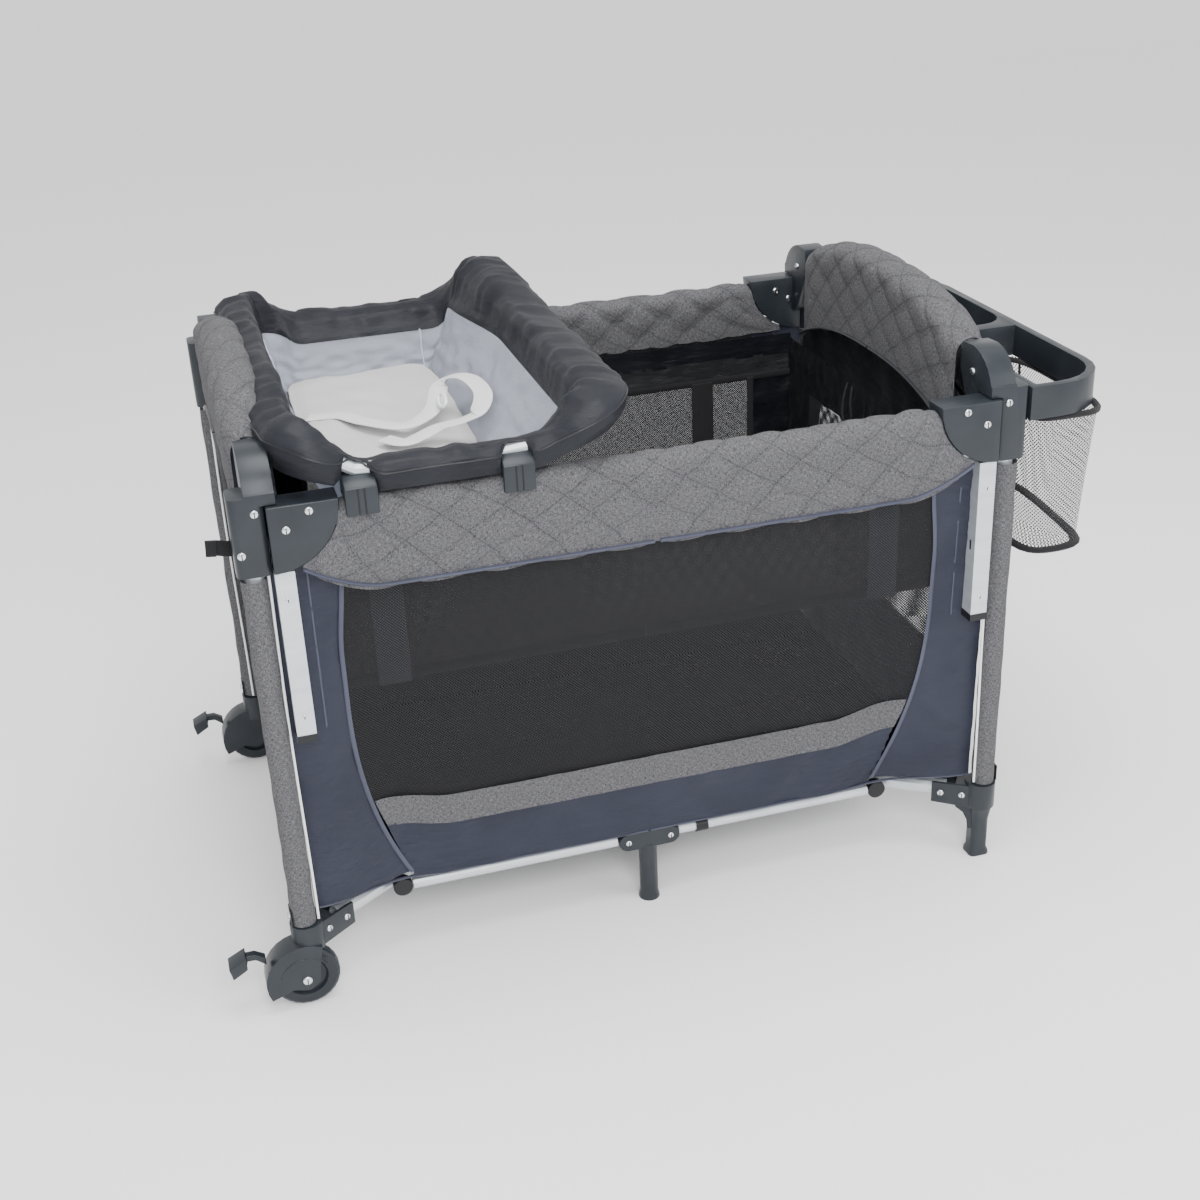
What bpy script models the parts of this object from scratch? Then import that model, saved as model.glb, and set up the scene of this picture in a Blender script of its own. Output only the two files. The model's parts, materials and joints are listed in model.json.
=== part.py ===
"""Folding travel play yard: steel frame with corner hubs, a drop side, a bassinet insert, a lift-off
changer and a lift-off side organizer.

Metres, +Z up. X runs along the long sides, the drop side is the front at -Y. The origin is the middle of
the floor under the centre hub. Four floor arms fold up like an umbrella, and every rail and base bar folds
by the same angle, because their pin offsets add up to those of the floor arms.
"""

import math

import bmesh
import bpy
from mathutils import Vector

# Posts and fold geometry
POST_X, POST_Y = 0.495, 0.328  # post axes
DIAGONAL = math.hypot(POST_X, POST_Y)
DIAG_X, DIAG_Y = POST_X / DIAGONAL, POST_Y / DIAGONAL  # direction from the centre to a post
FOOT_REACH = 0.048  # post axis to the floor arm's outer pin
HUB_REACH = 0.055  # centre to the floor arm's inner pin
ARM_Z = 0.105  # height of every pin of the base
BASE_PIN_SUM = FOOT_REACH + HUB_REACH
RAIL_PIN_IN = 0.062  # post axis to a long rail's corner pin
RAIL_LATCH_PIN = BASE_PIN_SUM * DIAG_X - RAIL_PIN_IN  # middle to a long rail's latch pin
ARCH_PIN_IN = 0.040  # post axis to an end rail's corner pin
ARCH_LATCH_PIN = BASE_PIN_SUM * DIAG_Y - ARCH_PIN_IN  # middle to an end rail's latch pin
KNUCKLE_ALONG = 0.102  # outer pin to the knuckle, along the arm
KNUCKLE_SIDE = 0.026  # arm axis to the base bar's pin
KNUCKLE_R, KNUCKLE_HALF = 0.0135, 0.007
PIN_CLEAR = 0.0010  # a bar's end to the round lug that it turns about
TOUCH = 0.0003  # gap between pieces that touch

# Tubes
POST_R, ARM_R, BAR_R, RAIL_R, ARCH_R, RING_R = 0.0125, 0.012, 0.008, 0.0125, 0.011, 0.009
TUBE_WALL = 0.0014
POST_FOOT, POST_TOP = 0.098, 0.700

# Corner hubs and brackets
HUB_LOW, HUB_HIGH, HUB_HALF = 0.635, 0.735, 0.021
SOCKET_R = POST_R + TOUCH
RAIL_Z, RAIL_OUT = 0.695, 0.007  # long rail's height, and how far it lies outside the post axes
DISC_U, DISC_TOP, DISC_R = 0.022, 0.722, 0.085  # quarter disc of the rail bracket
DISC_HALF, RAIL_SLOT = 0.020, 0.0135
SLOT_BACK = 0.014  # a slot's back wall to the pin in it
ARCH_IN = 0.017  # post axes to the plane of the arched end rails
ARCH_Z, ARCH_SLOT, ARCH_ARM_HALF = 0.740, 0.012, 0.018
ARCH_OFFSET = 0.0125  # the two halves pass beside each other when folded
CHANNEL_U0, CHANNEL_U1, CHANNEL_LOW = 0.022, 0.046, 0.410
DROP_TRAVEL = 0.200

# Foot brackets, casters and feet
CUP_R, CUP_LOW, CUP_HIGH = 0.022, 0.084, 0.125
FOOT_CLEVIS = 0.068
WHEEL_R, WHEEL_HALF, WHEEL_OUT, WHEEL_SIDE = 0.0455, 0.0115, 0.010, 0.006
AXLE_R = 0.004
HOOD_R, HOOD_HALF = 0.054, 0.018

# Fabric solids
COVER_WALL = 0.005
COVER_END_X = POST_X - DISC_U - DISC_R - 0.003
COVER_LOW, COVER_TOP = 0.600, 0.7145
ARCH_COVER_HALF = 0.030
ARCH_RISE, ARCH_SPAN, ARCH_POWER = 0.052, 0.262, 2.6
WALL = 0.004
FLOOR_Z = 0.1258

# Changer and organizer
CHANGER_X0, CHANGER_X1, CHANGER_Y = -0.434, -0.062, 0.335
CHANGER_LOW, CHANGER_HIGH = 0.743, 0.785
CLIP_X = (-0.362, -0.172)
CLIP_HALF = 0.019
ORGANIZER_Z0, ORGANIZER_Z1 = 0.685, 0.730

COLOURS = {
    "grey_plastic": ((0.075, 0.085, 0.095), 0.42, 0.0),
    "black_plastic": ((0.018, 0.019, 0.021), 0.45, 0.0),
    "steel": ((0.56, 0.60, 0.64), 0.32, 0.9),
    "tyre": ((0.03, 0.033, 0.037), 0.6, 0.0),
    "melange": ((0.19, 0.18, 0.18), 0.9, 0.0),
    "dark_fabric": ((0.035, 0.037, 0.048), 0.75, 0.0),
    "black_fabric": ((0.010, 0.010, 0.011), 0.85, 0.0),
    "light_fabric": ((0.55, 0.57, 0.63), 0.85, 0.0),
}


class Corner:
    """One of the four corners. u and v run inwards from the post's axis, along X and Y."""

    def __init__(self, name, sx, sy):
        self.name, self.sx, self.sy = name, sx, sy

    def at(self, u, v, z):
        return Vector((self.sx * (POST_X - u), self.sy * (POST_Y - v), z))

    def out(self, reach, side, z):
        """The point that far from the centre towards the post, and that far beside that line."""
        x = DIAG_X * reach - DIAG_Y * side
        y = DIAG_Y * reach + DIAG_X * side
        return Vector((self.sx * x, self.sy * y, z))


CORNERS = [
    Corner("front_left", -1, -1),
    Corner("front_right", 1, -1),
    Corner("rear_left", -1, 1),
    Corner("rear_right", 1, 1),
]


# ---------------------------------------------------------------- building blocks


def material(name):
    found = bpy.data.materials.get(name)
    if found:
        return found
    made = bpy.data.materials.new(name)
    made.use_nodes = True
    shader = made.node_tree.nodes["Principled BSDF"]
    colour, roughness, metallic = COLOURS[name]
    shader.inputs["Base Color"].default_value = (*colour, 1)
    shader.inputs["Roughness"].default_value = roughness
    shader.inputs["Metallic"].default_value = metallic
    return made


def node(name, shape, colour, pivot=(0, 0, 0)):
    """A visible object made of a bmesh, with its origin at the pivot."""
    pivot = Vector(pivot)
    bmesh.ops.recalc_face_normals(shape, faces=shape.faces)
    bmesh.ops.translate(shape, vec=-pivot, verts=shape.verts)
    mesh = bpy.data.meshes.new(name)
    shape.to_mesh(mesh)
    shape.free()
    mesh.materials.append(material(colour))
    mesh.shade_smooth()
    mesh.set_sharp_from_angle(angle=math.radians(35))
    made = bpy.data.objects.new(name, mesh)
    made.location = pivot
    bpy.context.scene.collection.objects.link(made)
    return made


def combine(target, operation, *shapes):
    """Joins each bmesh to the object, or cuts it away, with a Boolean."""
    for shape in shapes:
        count = len(target.modifiers)
        tool = node(f"{target.name}_tool_{count}", shape, target.data.materials[0].name)
        tool.hide_render = True
        tool.display_type = "WIRE"
        boolean = target.modifiers.new(f"{operation.lower()}_{count}", "BOOLEAN")
        boolean.operation = operation
        boolean.object = tool
    return target


def prism(outline, low, high, place):
    """The outline, a list of (a, b), extruded from low to high. place turns (a, depth, b) into a point."""
    shape = bmesh.new()
    ends = [[shape.verts.new(place(a, depth, b)) for a, b in outline] for depth in (low, high)]
    shape.faces.new(ends[0])
    shape.faces.new(ends[1])
    for i in range(len(outline)):
        j = (i + 1) % len(outline)
        shape.faces.new((ends[0][i], ends[0][j], ends[1][j], ends[1][i]))
    return shape


def box(low, high):
    x0, y0, z0 = low
    x1, y1, z1 = high
    return prism([(x0, y0), (x1, y0), (x1, y1), (x0, y1)], z0, z1, lambda a, d, b: Vector((a, b, d)))


def arc(centre, radius, start, end, steps):
    """Points on an arc, with its angles in degrees."""
    angles = [math.radians(start + (end - start) * i / steps) for i in range(steps + 1)]
    return [(centre[0] + radius * math.cos(t), centre[1] + radius * math.sin(t)) for t in angles]


def ring_round(point, tangent, side, radius, sides):
    side = (side - tangent * side.dot(tangent)).normalized()
    other = tangent.cross(side)
    turns = [2 * math.pi * i / sides for i in range(sides)]
    return [point + radius * (math.cos(t) * side + math.sin(t) * other) for t in turns]


def bridge(shape, first, second):
    for i in range(len(first)):
        j = (i + 1) % len(first)
        shape.faces.new((first[i], first[j], second[j], second[i]))


def tube(path, radius, side, wall=TUBE_WALL, sides=12):
    """A tube along the path, open at both ends, or a solid bar if wall is 0."""
    path = [Vector(p) for p in path]
    shape = bmesh.new()
    skins = []
    for r in (radius, radius - wall) if wall else (radius,):
        rings = []
        for i, point in enumerate(path):
            tangent = (path[min(i + 1, len(path) - 1)] - path[max(i - 1, 0)]).normalized()
            points = ring_round(point, tangent, Vector(side), r, sides)
            rings.append([shape.verts.new(p) for p in points])
        for first, second in zip(rings, rings[1:]):
            bridge(shape, first, second)
        skins.append(rings)
    for end in (0, -1):
        if wall:
            bridge(shape, skins[0][end], skins[1][end])
        else:
            shape.faces.new(skins[0][end])
    return shape


def disc(centre, axis, radius, half, sides=20):
    """A cylinder about the centre."""
    axis = Vector(axis).normalized()
    side = Vector((0, 0, 1)) if abs(axis.z) < 0.5 else Vector((1, 0, 0))
    ends = (Vector(centre) - axis * half, Vector(centre) + axis * half)
    return tube(ends, radius, side, 0, sides)


def filleted(points, radii, steps):
    """A line of 2D points with each inner corner rounded to its radius."""
    done = [points[0]]
    for before, corner, after, radius in zip(points, points[1:], points[2:], radii):
        corner = Vector(corner)
        back, ahead = (Vector(before) - corner).normalized(), (Vector(after) - corner).normalized()
        half = back.angle(ahead) / 2
        centre = corner + (back + ahead).normalized() * radius / math.sin(half)
        start = corner + back * radius / math.tan(half) - centre
        end = corner + ahead * radius / math.tan(half) - centre
        for i in range(steps + 1):
            turned = start.lerp(end, i / steps).normalized() * radius
            done.append(tuple(centre + turned))
    done.append(points[-1])
    return done


def rounded_rectangle(x0, y0, x1, y1, radius, steps=4):
    return (
        arc((x1 - radius, y1 - radius), radius, 0, 90, steps)
        + arc((x0 + radius, y1 - radius), radius, 90, 180, steps)
        + arc((x0 + radius, y0 + radius), radius, 180, 270, steps)
        + arc((x1 - radius, y0 + radius), radius, 270, 360, steps)
    )


def tray(levels, wall, floor):
    """A thin open-topped box. Each level, from the top down, is (z, x0, y0, x1, y1, corner radius)."""
    shape = bmesh.new()

    def loop(level, inset, lift):
        z, x0, y0, x1, y1, radius = level
        points = rounded_rectangle(x0 + inset, y0 + inset, x1 - inset, y1 - inset, radius)
        return [shape.verts.new((x, y, z + lift)) for x, y in points]

    outer = [loop(level, 0, 0) for level in levels]
    inner = [loop(level, wall, floor * (level is levels[-1])) for level in levels]
    for rings in (outer, inner):
        for first, second in zip(rings, rings[1:]):
            bridge(shape, first, second)
    bridge(shape, outer[0], inner[0])
    shape.faces.new(outer[-1])
    shape.faces.new(inner[-1])
    return shape


def upright(a, depth, b):
    """Places an outline in the XZ plane, extruded along Y."""
    return Vector((a, depth, b))


def sideways(a, depth, b):
    """Places an outline in the YZ plane, extruded along X."""
    return Vector((depth, a, b))


# ---------------------------------------------------------------- posts, hubs and brackets


def quarter_disc():
    """The rail bracket's outline in (u, z)."""
    return [(DISC_U, DISC_TOP)] + arc((DISC_U, DISC_TOP), DISC_R, 0, -90, 9)


def rail_slot(corner):
    """The slot in which a long rail's end turns down."""
    outline = [(RAIL_PIN_IN - SLOT_BACK, 0.600), (0.130, 0.600), (0.130, RAIL_Z + SLOT_BACK)]
    outline.append((RAIL_PIN_IN - SLOT_BACK, RAIL_Z + SLOT_BACK))
    low, high = -RAIL_OUT - RAIL_SLOT, -RAIL_OUT + RAIL_SLOT
    return prism(outline, low, high, lambda u, v, z: corner.at(u, v, z))


def make_post(corner):
    path = (corner.at(0, 0, POST_FOOT), corner.at(0, 0, POST_TOP))
    node(f"post_{corner.name}", tube(path, POST_R, (1, 0, 0)), "steel", path[0])


def make_hub(corner):
    """The hub caps the post and holds the end rail's pin. At the rear it holds the long rail's too."""
    outline = rounded_rectangle(-HUB_HALF, -HUB_HALF, HUB_HALF, HUB_HALF, 0.009)
    column = prism(outline, HUB_LOW, HUB_HIGH, lambda u, z, v: corner.at(u, v, z))
    hub = node(f"corner_hub_{corner.name}", column, "grey_plastic", corner.at(0, 0, HUB_LOW))
    arm = [(-0.021, 0.7235), (-0.021, 0.738)] + arc((0.040, 0.718), 0.062, 160, 95, 6)
    arm += [(0.062, 0.778), (0.067, 0.745), (0.052, 0.715), (0.036, 0.682), (0.0145, 0.666)]
    arm.append((0.0145, 0.7235))
    low, high = ARCH_IN - ARCH_ARM_HALF, ARCH_IN + ARCH_ARM_HALF
    combine(hub, "UNION", prism(arm, low, high, lambda v, u, z: corner.at(u, v, z)))
    if corner.sy > 0:
        fixed = [(0.010, DISC_TOP)] + quarter_disc()[1:] + [(0.010, DISC_TOP - DISC_R)]
        low, high = -RAIL_OUT - DISC_HALF, -RAIL_OUT + DISC_HALF
        combine(hub, "UNION", prism(fixed, low, high, lambda u, v, z: corner.at(u, v, z)))
        combine(hub, "DIFFERENCE", rail_slot(corner))
    slot = [(ARCH_PIN_IN - SLOT_BACK, 0.600), (0.090, 0.600), (0.090, 0.7665)]
    slot.append((ARCH_PIN_IN - SLOT_BACK, 0.7665))
    low, high = ARCH_IN - ARCH_SLOT, ARCH_IN + ARCH_SLOT
    combine(hub, "DIFFERENCE", prism(slot, low, high, lambda v, u, z: corner.at(u, v, z)))
    socket = (corner.at(0, 0, HUB_LOW - 0.01), corner.at(0, 0, POST_TOP + TOUCH))
    combine(hub, "DIFFERENCE", tube(socket, SOCKET_R, (1, 0, 0), 0, 16))


def make_drop_bracket(corner):
    """The quarter-disc bracket that slides down the post with the drop side, and its steel channel."""
    side = "left" if corner.sx < 0 else "right"
    low, high = -RAIL_OUT - DISC_HALF, -RAIL_OUT + DISC_HALF
    shape = prism(quarter_disc(), low, high, lambda u, v, z: corner.at(u, v, z))
    top = corner.at(DISC_U, -RAIL_OUT, DISC_TOP - DISC_R)
    bracket = node(f"drop_bracket_{side}", shape, "grey_plastic", top)
    combine(bracket, "DIFFERENCE", rail_slot(corner))
    web, front, back = 0.002, -0.022, 0.003
    profile = [(CHANNEL_U0, back), (CHANNEL_U0, front), (CHANNEL_U1, front), (CHANNEL_U1, back)]
    profile += [(CHANNEL_U1 - web, back), (CHANNEL_U1 - web, front + web)]
    profile += [(CHANNEL_U0 + web, front + web), (CHANNEL_U0 + web, back)]
    high = DISC_TOP - DISC_R - TOUCH
    channel = prism(profile, CHANNEL_LOW, high, lambda u, z, v: corner.at(u, v, z))
    node(f"drop_channel_{side}", channel, "steel", corner.at(CHANNEL_U0, 0, high))


def make_foot_bracket(corner):
    """Cup under the post with a clevis for the floor arm, and a caster housing or a foot below."""
    cup = tube((corner.at(0, 0, CUP_LOW), corner.at(0, 0, CUP_HIGH)), CUP_R, (1, 0, 0), 0, 20)
    bracket = node(f"foot_bracket_{corner.name}", cup, "grey_plastic", corner.at(0, 0, CUP_LOW))

    def place(q, n, z):
        return corner.out(DIAGONAL - q, n, z)

    lug = [(0, CUP_LOW), (FOOT_CLEVIS, CUP_LOW + 0.004), (FOOT_CLEVIS, 0.121), (0, 0.121)]
    combine(bracket, "UNION", prism(lug, -0.017, 0.017, place))
    back = FOOT_REACH - SLOT_BACK
    slot = [(back, 0.070), (FOOT_CLEVIS + 0.01, 0.070), (FOOT_CLEVIS + 0.01, 0.140), (back, 0.140)]
    if corner.sx < 0:
        hub = wheel_centre(corner)
        hood = arc((hub.x, hub.z), HOOD_R, 62, 205, 11)
        hood += [(hub.x - 0.020, hub.z - 0.012), (hub.x + 0.002, hub.z - 0.017)]
        hood += [(hub.x + 0.017, hub.z - 0.006), (hub.x + 0.020, hub.z + 0.020)]
        shape = prism(hood, hub.y - HOOD_HALF, hub.y + HOOD_HALF, upright)
        combine(bracket, "UNION", shape)
        well = disc(hub, (0, 1, 0), WHEEL_R + 0.002, WHEEL_HALF + 0.001, 28)
        combine(bracket, "DIFFERENCE", well)
        combine(bracket, "UNION", disc(hub, (0, 1, 0), AXLE_R, HOOD_HALF - 0.002, 12))
    else:
        leg = bmesh.new()
        sizes = ((0, 0.0155, 0.0150), (0.006, 0.0150, 0.0145), (0.012, 0.0128, 0.0128))
        sizes += ((0.060, 0.0128, 0.0128), (0.090, 0.0165, 0.0165))
        rings = []
        for z, half_u, half_v in sizes:
            points = rounded_rectangle(-half_u, -half_v, half_u, half_v, 0.007, 3)
            rings.append([leg.verts.new(corner.at(u, v, z)) for u, v in points])
        for first, second in zip(rings, rings[1:]):
            bridge(leg, first, second)
        leg.faces.new(rings[0])
        leg.faces.new(rings[-1])
        bmesh.ops.recalc_face_normals(leg, faces=leg.faces)
        combine(bracket, "UNION", leg)
        gusset = [(0, 0.045), (0.0135, 0.045), (0.0155, 0.060), (0.0215, 0.072), (0.033, 0.080)]
        gusset += [(0.033, 0.095), (0, 0.095)]
        combine(bracket, "UNION", prism(gusset, -0.0115, 0.0115, place))
    combine(bracket, "DIFFERENCE", prism(slot, -0.0125, 0.0125, place))
    socket = (corner.at(0, 0, POST_FOOT - TOUCH), corner.at(0, 0, CUP_HIGH + 0.01))
    combine(bracket, "DIFFERENCE", tube(socket, SOCKET_R, (1, 0, 0), 0, 16))


def wheel_centre(corner):
    return corner.at(-WHEEL_OUT, -WHEEL_SIDE, WHEEL_R)


def make_caster(corner):
    """Wheel with a stepped face and a bore, and the brake pedal behind its housing."""
    hub = wheel_centre(corner)
    profile = [(AXLE_R + 0.0005, -0.0095), (0.010, -0.0095), (0.012, -0.006), (0.026, -0.006)]
    profile += [(0.029, -WHEEL_HALF + 0.001), (0.041, -WHEEL_HALF + 0.001), (WHEEL_R - 0.001, -0.008)]
    profile += [(WHEEL_R, -0.004), (WHEEL_R, 0.004), (WHEEL_R - 0.001, 0.008)]
    profile += [(0.041, WHEEL_HALF - 0.001), (0.029, WHEEL_HALF - 0.001), (0.026, 0.006)]
    profile += [(0.012, 0.006), (0.010, 0.0095), (AXLE_R + 0.0005, 0.0095)]
    shape = bmesh.new()
    steps = 28
    rings = []
    for i in range(steps):
        turn = 2 * math.pi * i / steps
        across = Vector((math.cos(turn), 0, math.sin(turn)))
        rings.append([shape.verts.new(hub + across * r + Vector((0, y, 0))) for r, y in profile])
    for i in range(steps):
        bridge(shape, rings[i], rings[(i + 1) % steps])
    node(f"caster_wheel_{corner.name}", shape, "tyre", hub)
    pivot = pedal_pivot(corner)
    x, z = pivot.x, pivot.z
    lever = [(x + 0.001, z - 0.006), (x + 0.001, z + 0.006), (x - 0.012, z + 0.014)]
    lever += [(x - 0.028, z + 0.014), (x - 0.031, z + 0.006), (x - 0.012, z + 0.005)]
    pedal = prism(lever, pivot.y - 0.006, pivot.y + 0.006, upright)
    made = node(f"brake_pedal_{corner.name}", pedal, "grey_plastic", pivot)
    pad = [(x - 0.024, z + 0.016), (x - 0.048, z + 0.004), (x - 0.044, z - 0.014), (x - 0.024, z - 0.002)]
    combine(made, "UNION", prism(pad, pivot.y - 0.014, pivot.y + 0.014, upright))


def pedal_pivot(corner):
    turn = math.radians(145)
    reach = HOOD_R + 0.007
    return wheel_centre(corner) + Vector((math.cos(turn) * reach, 0, math.sin(turn) * reach))


# ---------------------------------------------------------------- base


def make_floor_arm(corner):
    start = corner.out(DIAGONAL - FOOT_REACH - 0.0005, 0, ARM_Z)
    end = corner.out(HUB_REACH + KNUCKLE_R + PIN_CLEAR, 0, ARM_Z)
    pivot = corner.out(DIAGONAL - FOOT_REACH, 0, ARM_Z)
    node(f"floor_arm_{corner.name}", tube((start, end), ARM_R, (0, 0, 1)), "steel", pivot)


def make_floor_hub():
    """Centre hub with four round-ended lugs and its own foot."""
    core = tube(((0, 0, 0.088), (0, 0, 0.121)), 0.034, (1, 0, 0), 0, 24)
    hub = node("floor_hub", core, "black_plastic")
    for corner in CORNERS:
        beam = [(0.0, ARM_Z + KNUCKLE_R)]
        beam += arc((HUB_REACH, ARM_Z), KNUCKLE_R, 90, -90, 8) + [(0.0, ARM_Z - KNUCKLE_R)]
        shape = prism(beam, -0.011, 0.011, lambda q, n, z: corner.out(q, n, z))
        combine(hub, "UNION", shape)
    foot = bmesh.new()
    rings = []
    for z, radius in ((0, 0.019), (0.008, 0.017), (0.095, 0.015)):
        points = ring_round(Vector((0, 0, z)), Vector((0, 0, 1)), Vector((1, 0, 0)), radius, 20)
        rings.append([foot.verts.new(p) for p in points])
    for first, second in zip(rings, rings[1:]):
        bridge(foot, first, second)
    foot.faces.new(rings[0])
    foot.faces.new(rings[-1])
    combine(hub, "UNION", foot)


def bar_pin(corner):
    return corner.out(DIAGONAL - FOOT_REACH - KNUCKLE_ALONG, KNUCKLE_SIDE, ARM_Z)


def make_knuckle(corner):
    """Round block that joins a base bar to the side of a floor arm, with a stub pin towards the arm."""
    pin = bar_pin(corner)
    shape = disc(pin, (0, 1, 0), KNUCKLE_R, KNUCKLE_HALF, 18)
    arm_point = corner.out(DIAGONAL - FOOT_REACH - KNUCKLE_ALONG, 0, ARM_Z)
    knuckle = node(f"knuckle_{corner.name}", shape, "black_plastic", arm_point)
    reach = DIAGONAL - FOOT_REACH - KNUCKLE_ALONG
    stub = (corner.out(reach, ARM_R + 0.001, ARM_Z), corner.out(reach, KNUCKLE_SIDE, ARM_Z))
    combine(knuckle, "UNION", tube(stub, 0.005, (0, 0, 1), 0, 12))


def make_base_bars(sy, row):
    """Two half bars and the centre foot between them."""
    for corner in CORNERS:
        if corner.sy != sy:
            continue
        pin = bar_pin(corner)
        inner = HUB_REACH * DIAG_X - KNUCKLE_SIDE * DIAG_Y
        clear = KNUCKLE_R + PIN_CLEAR
        start = (pin.x - corner.sx * clear, pin.y, ARM_Z)
        end = (corner.sx * (inner + clear), pin.y, ARM_Z)
        node(f"base_bar_{corner.name}", tube((start, end), BAR_R, (0, 0, 1)), "steel", pin)
    y = pin.y
    body = arc((inner, ARM_Z), KNUCKLE_R, -90, 90, 8) + arc((-inner, ARM_Z), KNUCKLE_R, 90, 270, 8)
    foot = node(f"centre_foot_{row}", prism(body, y - 0.012, y + 0.012, upright), "grey_plastic")
    leg = bmesh.new()
    rings = []
    for z, radius in ((0, 0.0155), (0.006, 0.0145), (0.012, 0.0132), (0.095, 0.0132)):
        points = ring_round(Vector((0, y, z)), Vector((0, 0, 1)), Vector((1, 0, 0)), radius, 16)
        rings.append([leg.verts.new(p) for p in points])
    for first, second in zip(rings, rings[1:]):
        bridge(leg, first, second)
    leg.faces.new(rings[0])
    leg.faces.new(rings[-1])
    combine(foot, "UNION", leg)


# ---------------------------------------------------------------- top rails


def make_long_rails(sy, row):
    y = sy * (POST_Y + RAIL_OUT)
    clear = KNUCKLE_R + PIN_CLEAR
    for corner in CORNERS:
        if corner.sy != sy:
            continue
        start = (corner.sx * (POST_X - RAIL_PIN_IN - 0.0005), y, RAIL_Z)
        end = (corner.sx * (RAIL_LATCH_PIN + clear), y, RAIL_Z)
        pivot = corner.at(RAIL_PIN_IN, -RAIL_OUT, RAIL_Z)
        node(f"top_rail_{corner.name}", tube((start, end), RAIL_R, (0, 0, 1)), "steel", pivot)
    outline = arc((RAIL_LATCH_PIN, RAIL_Z), KNUCKLE_R, -90, 90, 6)
    outline += arc((-RAIL_LATCH_PIN, RAIL_Z), KNUCKLE_R, 90, 270, 6)
    shape = prism(outline, y - 0.0125, y + 0.0125, upright)
    node(f"rail_latch_{row}", shape, "black_plastic", (0, y, RAIL_Z))


def arch_path():
    """Half of an arched end rail, as (y, z) from its corner pin to its latch pin."""
    start = (POST_Y - ARCH_PIN_IN - 0.0005, ARCH_Z)
    end = (ARCH_LATCH_PIN + KNUCKLE_R + PIN_CLEAR, ARCH_Z)
    points = [start, (0.262, 0.7525), (0.190, 0.787), (0.085, 0.803), (0.060, ARCH_Z), end]
    return filleted(points, (0.10, 0.20, 0.03, 0.019), 4)


def make_arch(sx, side):
    plane = sx * (POST_X - ARCH_IN)
    for corner in CORNERS:
        if corner.sx != sx:
            continue
        path = []
        for y, z in arch_path():
            share = min(max((0.262 - y) / 0.047, 0), 1)
            shift = ARCH_OFFSET * share * share * (3 - 2 * share)
            path.append((plane - corner.sy * shift, corner.sy * y, z))
        row = "front" if corner.sy < 0 else "rear"
        pivot = corner.at(ARCH_IN, ARCH_PIN_IN, ARCH_Z)
        shape = tube(path, ARCH_R, (1, 0, 0), TUBE_WALL, 10)
        node(f"end_rail_{side}_{row}", shape, "steel", pivot)
    outline = arc((ARCH_LATCH_PIN, ARCH_Z), KNUCKLE_R, -90, 90, 6)
    outline += arc((-ARCH_LATCH_PIN, ARCH_Z), KNUCKLE_R, 90, 270, 6)
    shape = prism(outline, plane - 0.0235, plane + 0.0235, sideways)
    node(f"rail_latch_{side}", shape, "black_plastic", (plane, 0, ARCH_Z))


# ---------------------------------------------------------------- fabric solids


def make_long_cover(sy, row):
    """Quilted sleeve over a long rail, open below: an outer and an inner flap."""
    y = sy * (POST_Y + RAIL_OUT)
    half = RAIL_SLOT + COVER_WALL
    low = COVER_LOW + 0.030
    profile = [(y + sy * half, COVER_LOW), (y + sy * half, COVER_TOP), (y - sy * half, COVER_TOP)]
    profile += [(y - sy * half, low), (y - sy * RAIL_SLOT, low)]
    profile += [(y - sy * RAIL_SLOT, COVER_TOP - COVER_WALL), (y + sy * RAIL_SLOT, COVER_TOP - COVER_WALL)]
    profile.append((y + sy * RAIL_SLOT, COVER_LOW))
    shape = prism(profile, -COVER_END_X, COVER_END_X, sideways)
    node(f"rail_cover_{row}", shape, "melange", (0, y, COVER_TOP))


def arch_height(y):
    return 0.752 + ARCH_RISE * (1 - (abs(y) / ARCH_SPAN) ** ARCH_POWER)


def make_arch_cover(sx, side):
    plane = sx * (POST_X - ARCH_IN)
    end, steps = 0.255, 16
    across = [-end + 2 * end * i / steps for i in range(steps + 1)]

    def band(rise, drop):
        top = [(y, arch_height(y) + rise) for y in across]
        return top + [(y, arch_height(y) - drop) for y in reversed(across)]

    shape = prism(band(0.021, 0.115), plane - ARCH_COVER_HALF, plane + ARCH_COVER_HALF, sideways)
    cover = node(f"rail_cover_{side}", shape, "melange", (plane, 0, 0.80))
    inner = ARCH_COVER_HALF - COVER_WALL
    wide = [-end - 0.01] + across[1:-1] + [end + 0.01]
    hollow = [(y, arch_height(y) + 0.016) for y in wide] + [(y, 0.60) for y in reversed(wide)]
    combine(cover, "DIFFERENCE", prism(hollow, plane - inner, plane + inner, sideways))


def make_enclosure():
    """Fabric walls and floor, sewn as one piece. It tapers to the base bars below."""
    x, y = 0.478, 0.311
    levels = [(0.598, -x, -y, x, y, 0.012), (0.250, -x, -y, x, y, 0.012)]
    levels.append((FLOOR_Z, -0.460, -0.268, 0.460, 0.268, 0.012))
    node("fabric_enclosure", tray(levels, WALL, 0.006), "dark_fabric")


def make_bassinet():
    x, y = 0.452, 0.298
    levels = [(0.610, -x, -y, x, y, 0.010), (0.440, -x, -y, x, y, 0.010)]
    node("bassinet_insert", tray(levels, WALL, WALL), "black_fabric")
    pad = rounded_rectangle(-x + 0.012, -y + 0.012, x - 0.012, y - 0.012, 0.02)
    shape = prism(pad, 0.4445, 0.4700, lambda a, d, b: Vector((a, b, d)))
    node("mattress", shape, "melange")


# ---------------------------------------------------------------- changer and organizer


def changer_height(x):
    """The ring lies low along the rails and rises to both raised ends."""
    middle, half = (CHANGER_X0 + CHANGER_X1) / 2, (CHANGER_X1 - CHANGER_X0) / 2
    share = min(max((abs(x - middle) / half - 0.52) / 0.48, 0), 1)
    return CHANGER_LOW + (CHANGER_HIGH - CHANGER_LOW) * share * share * (3 - 2 * share)


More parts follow.
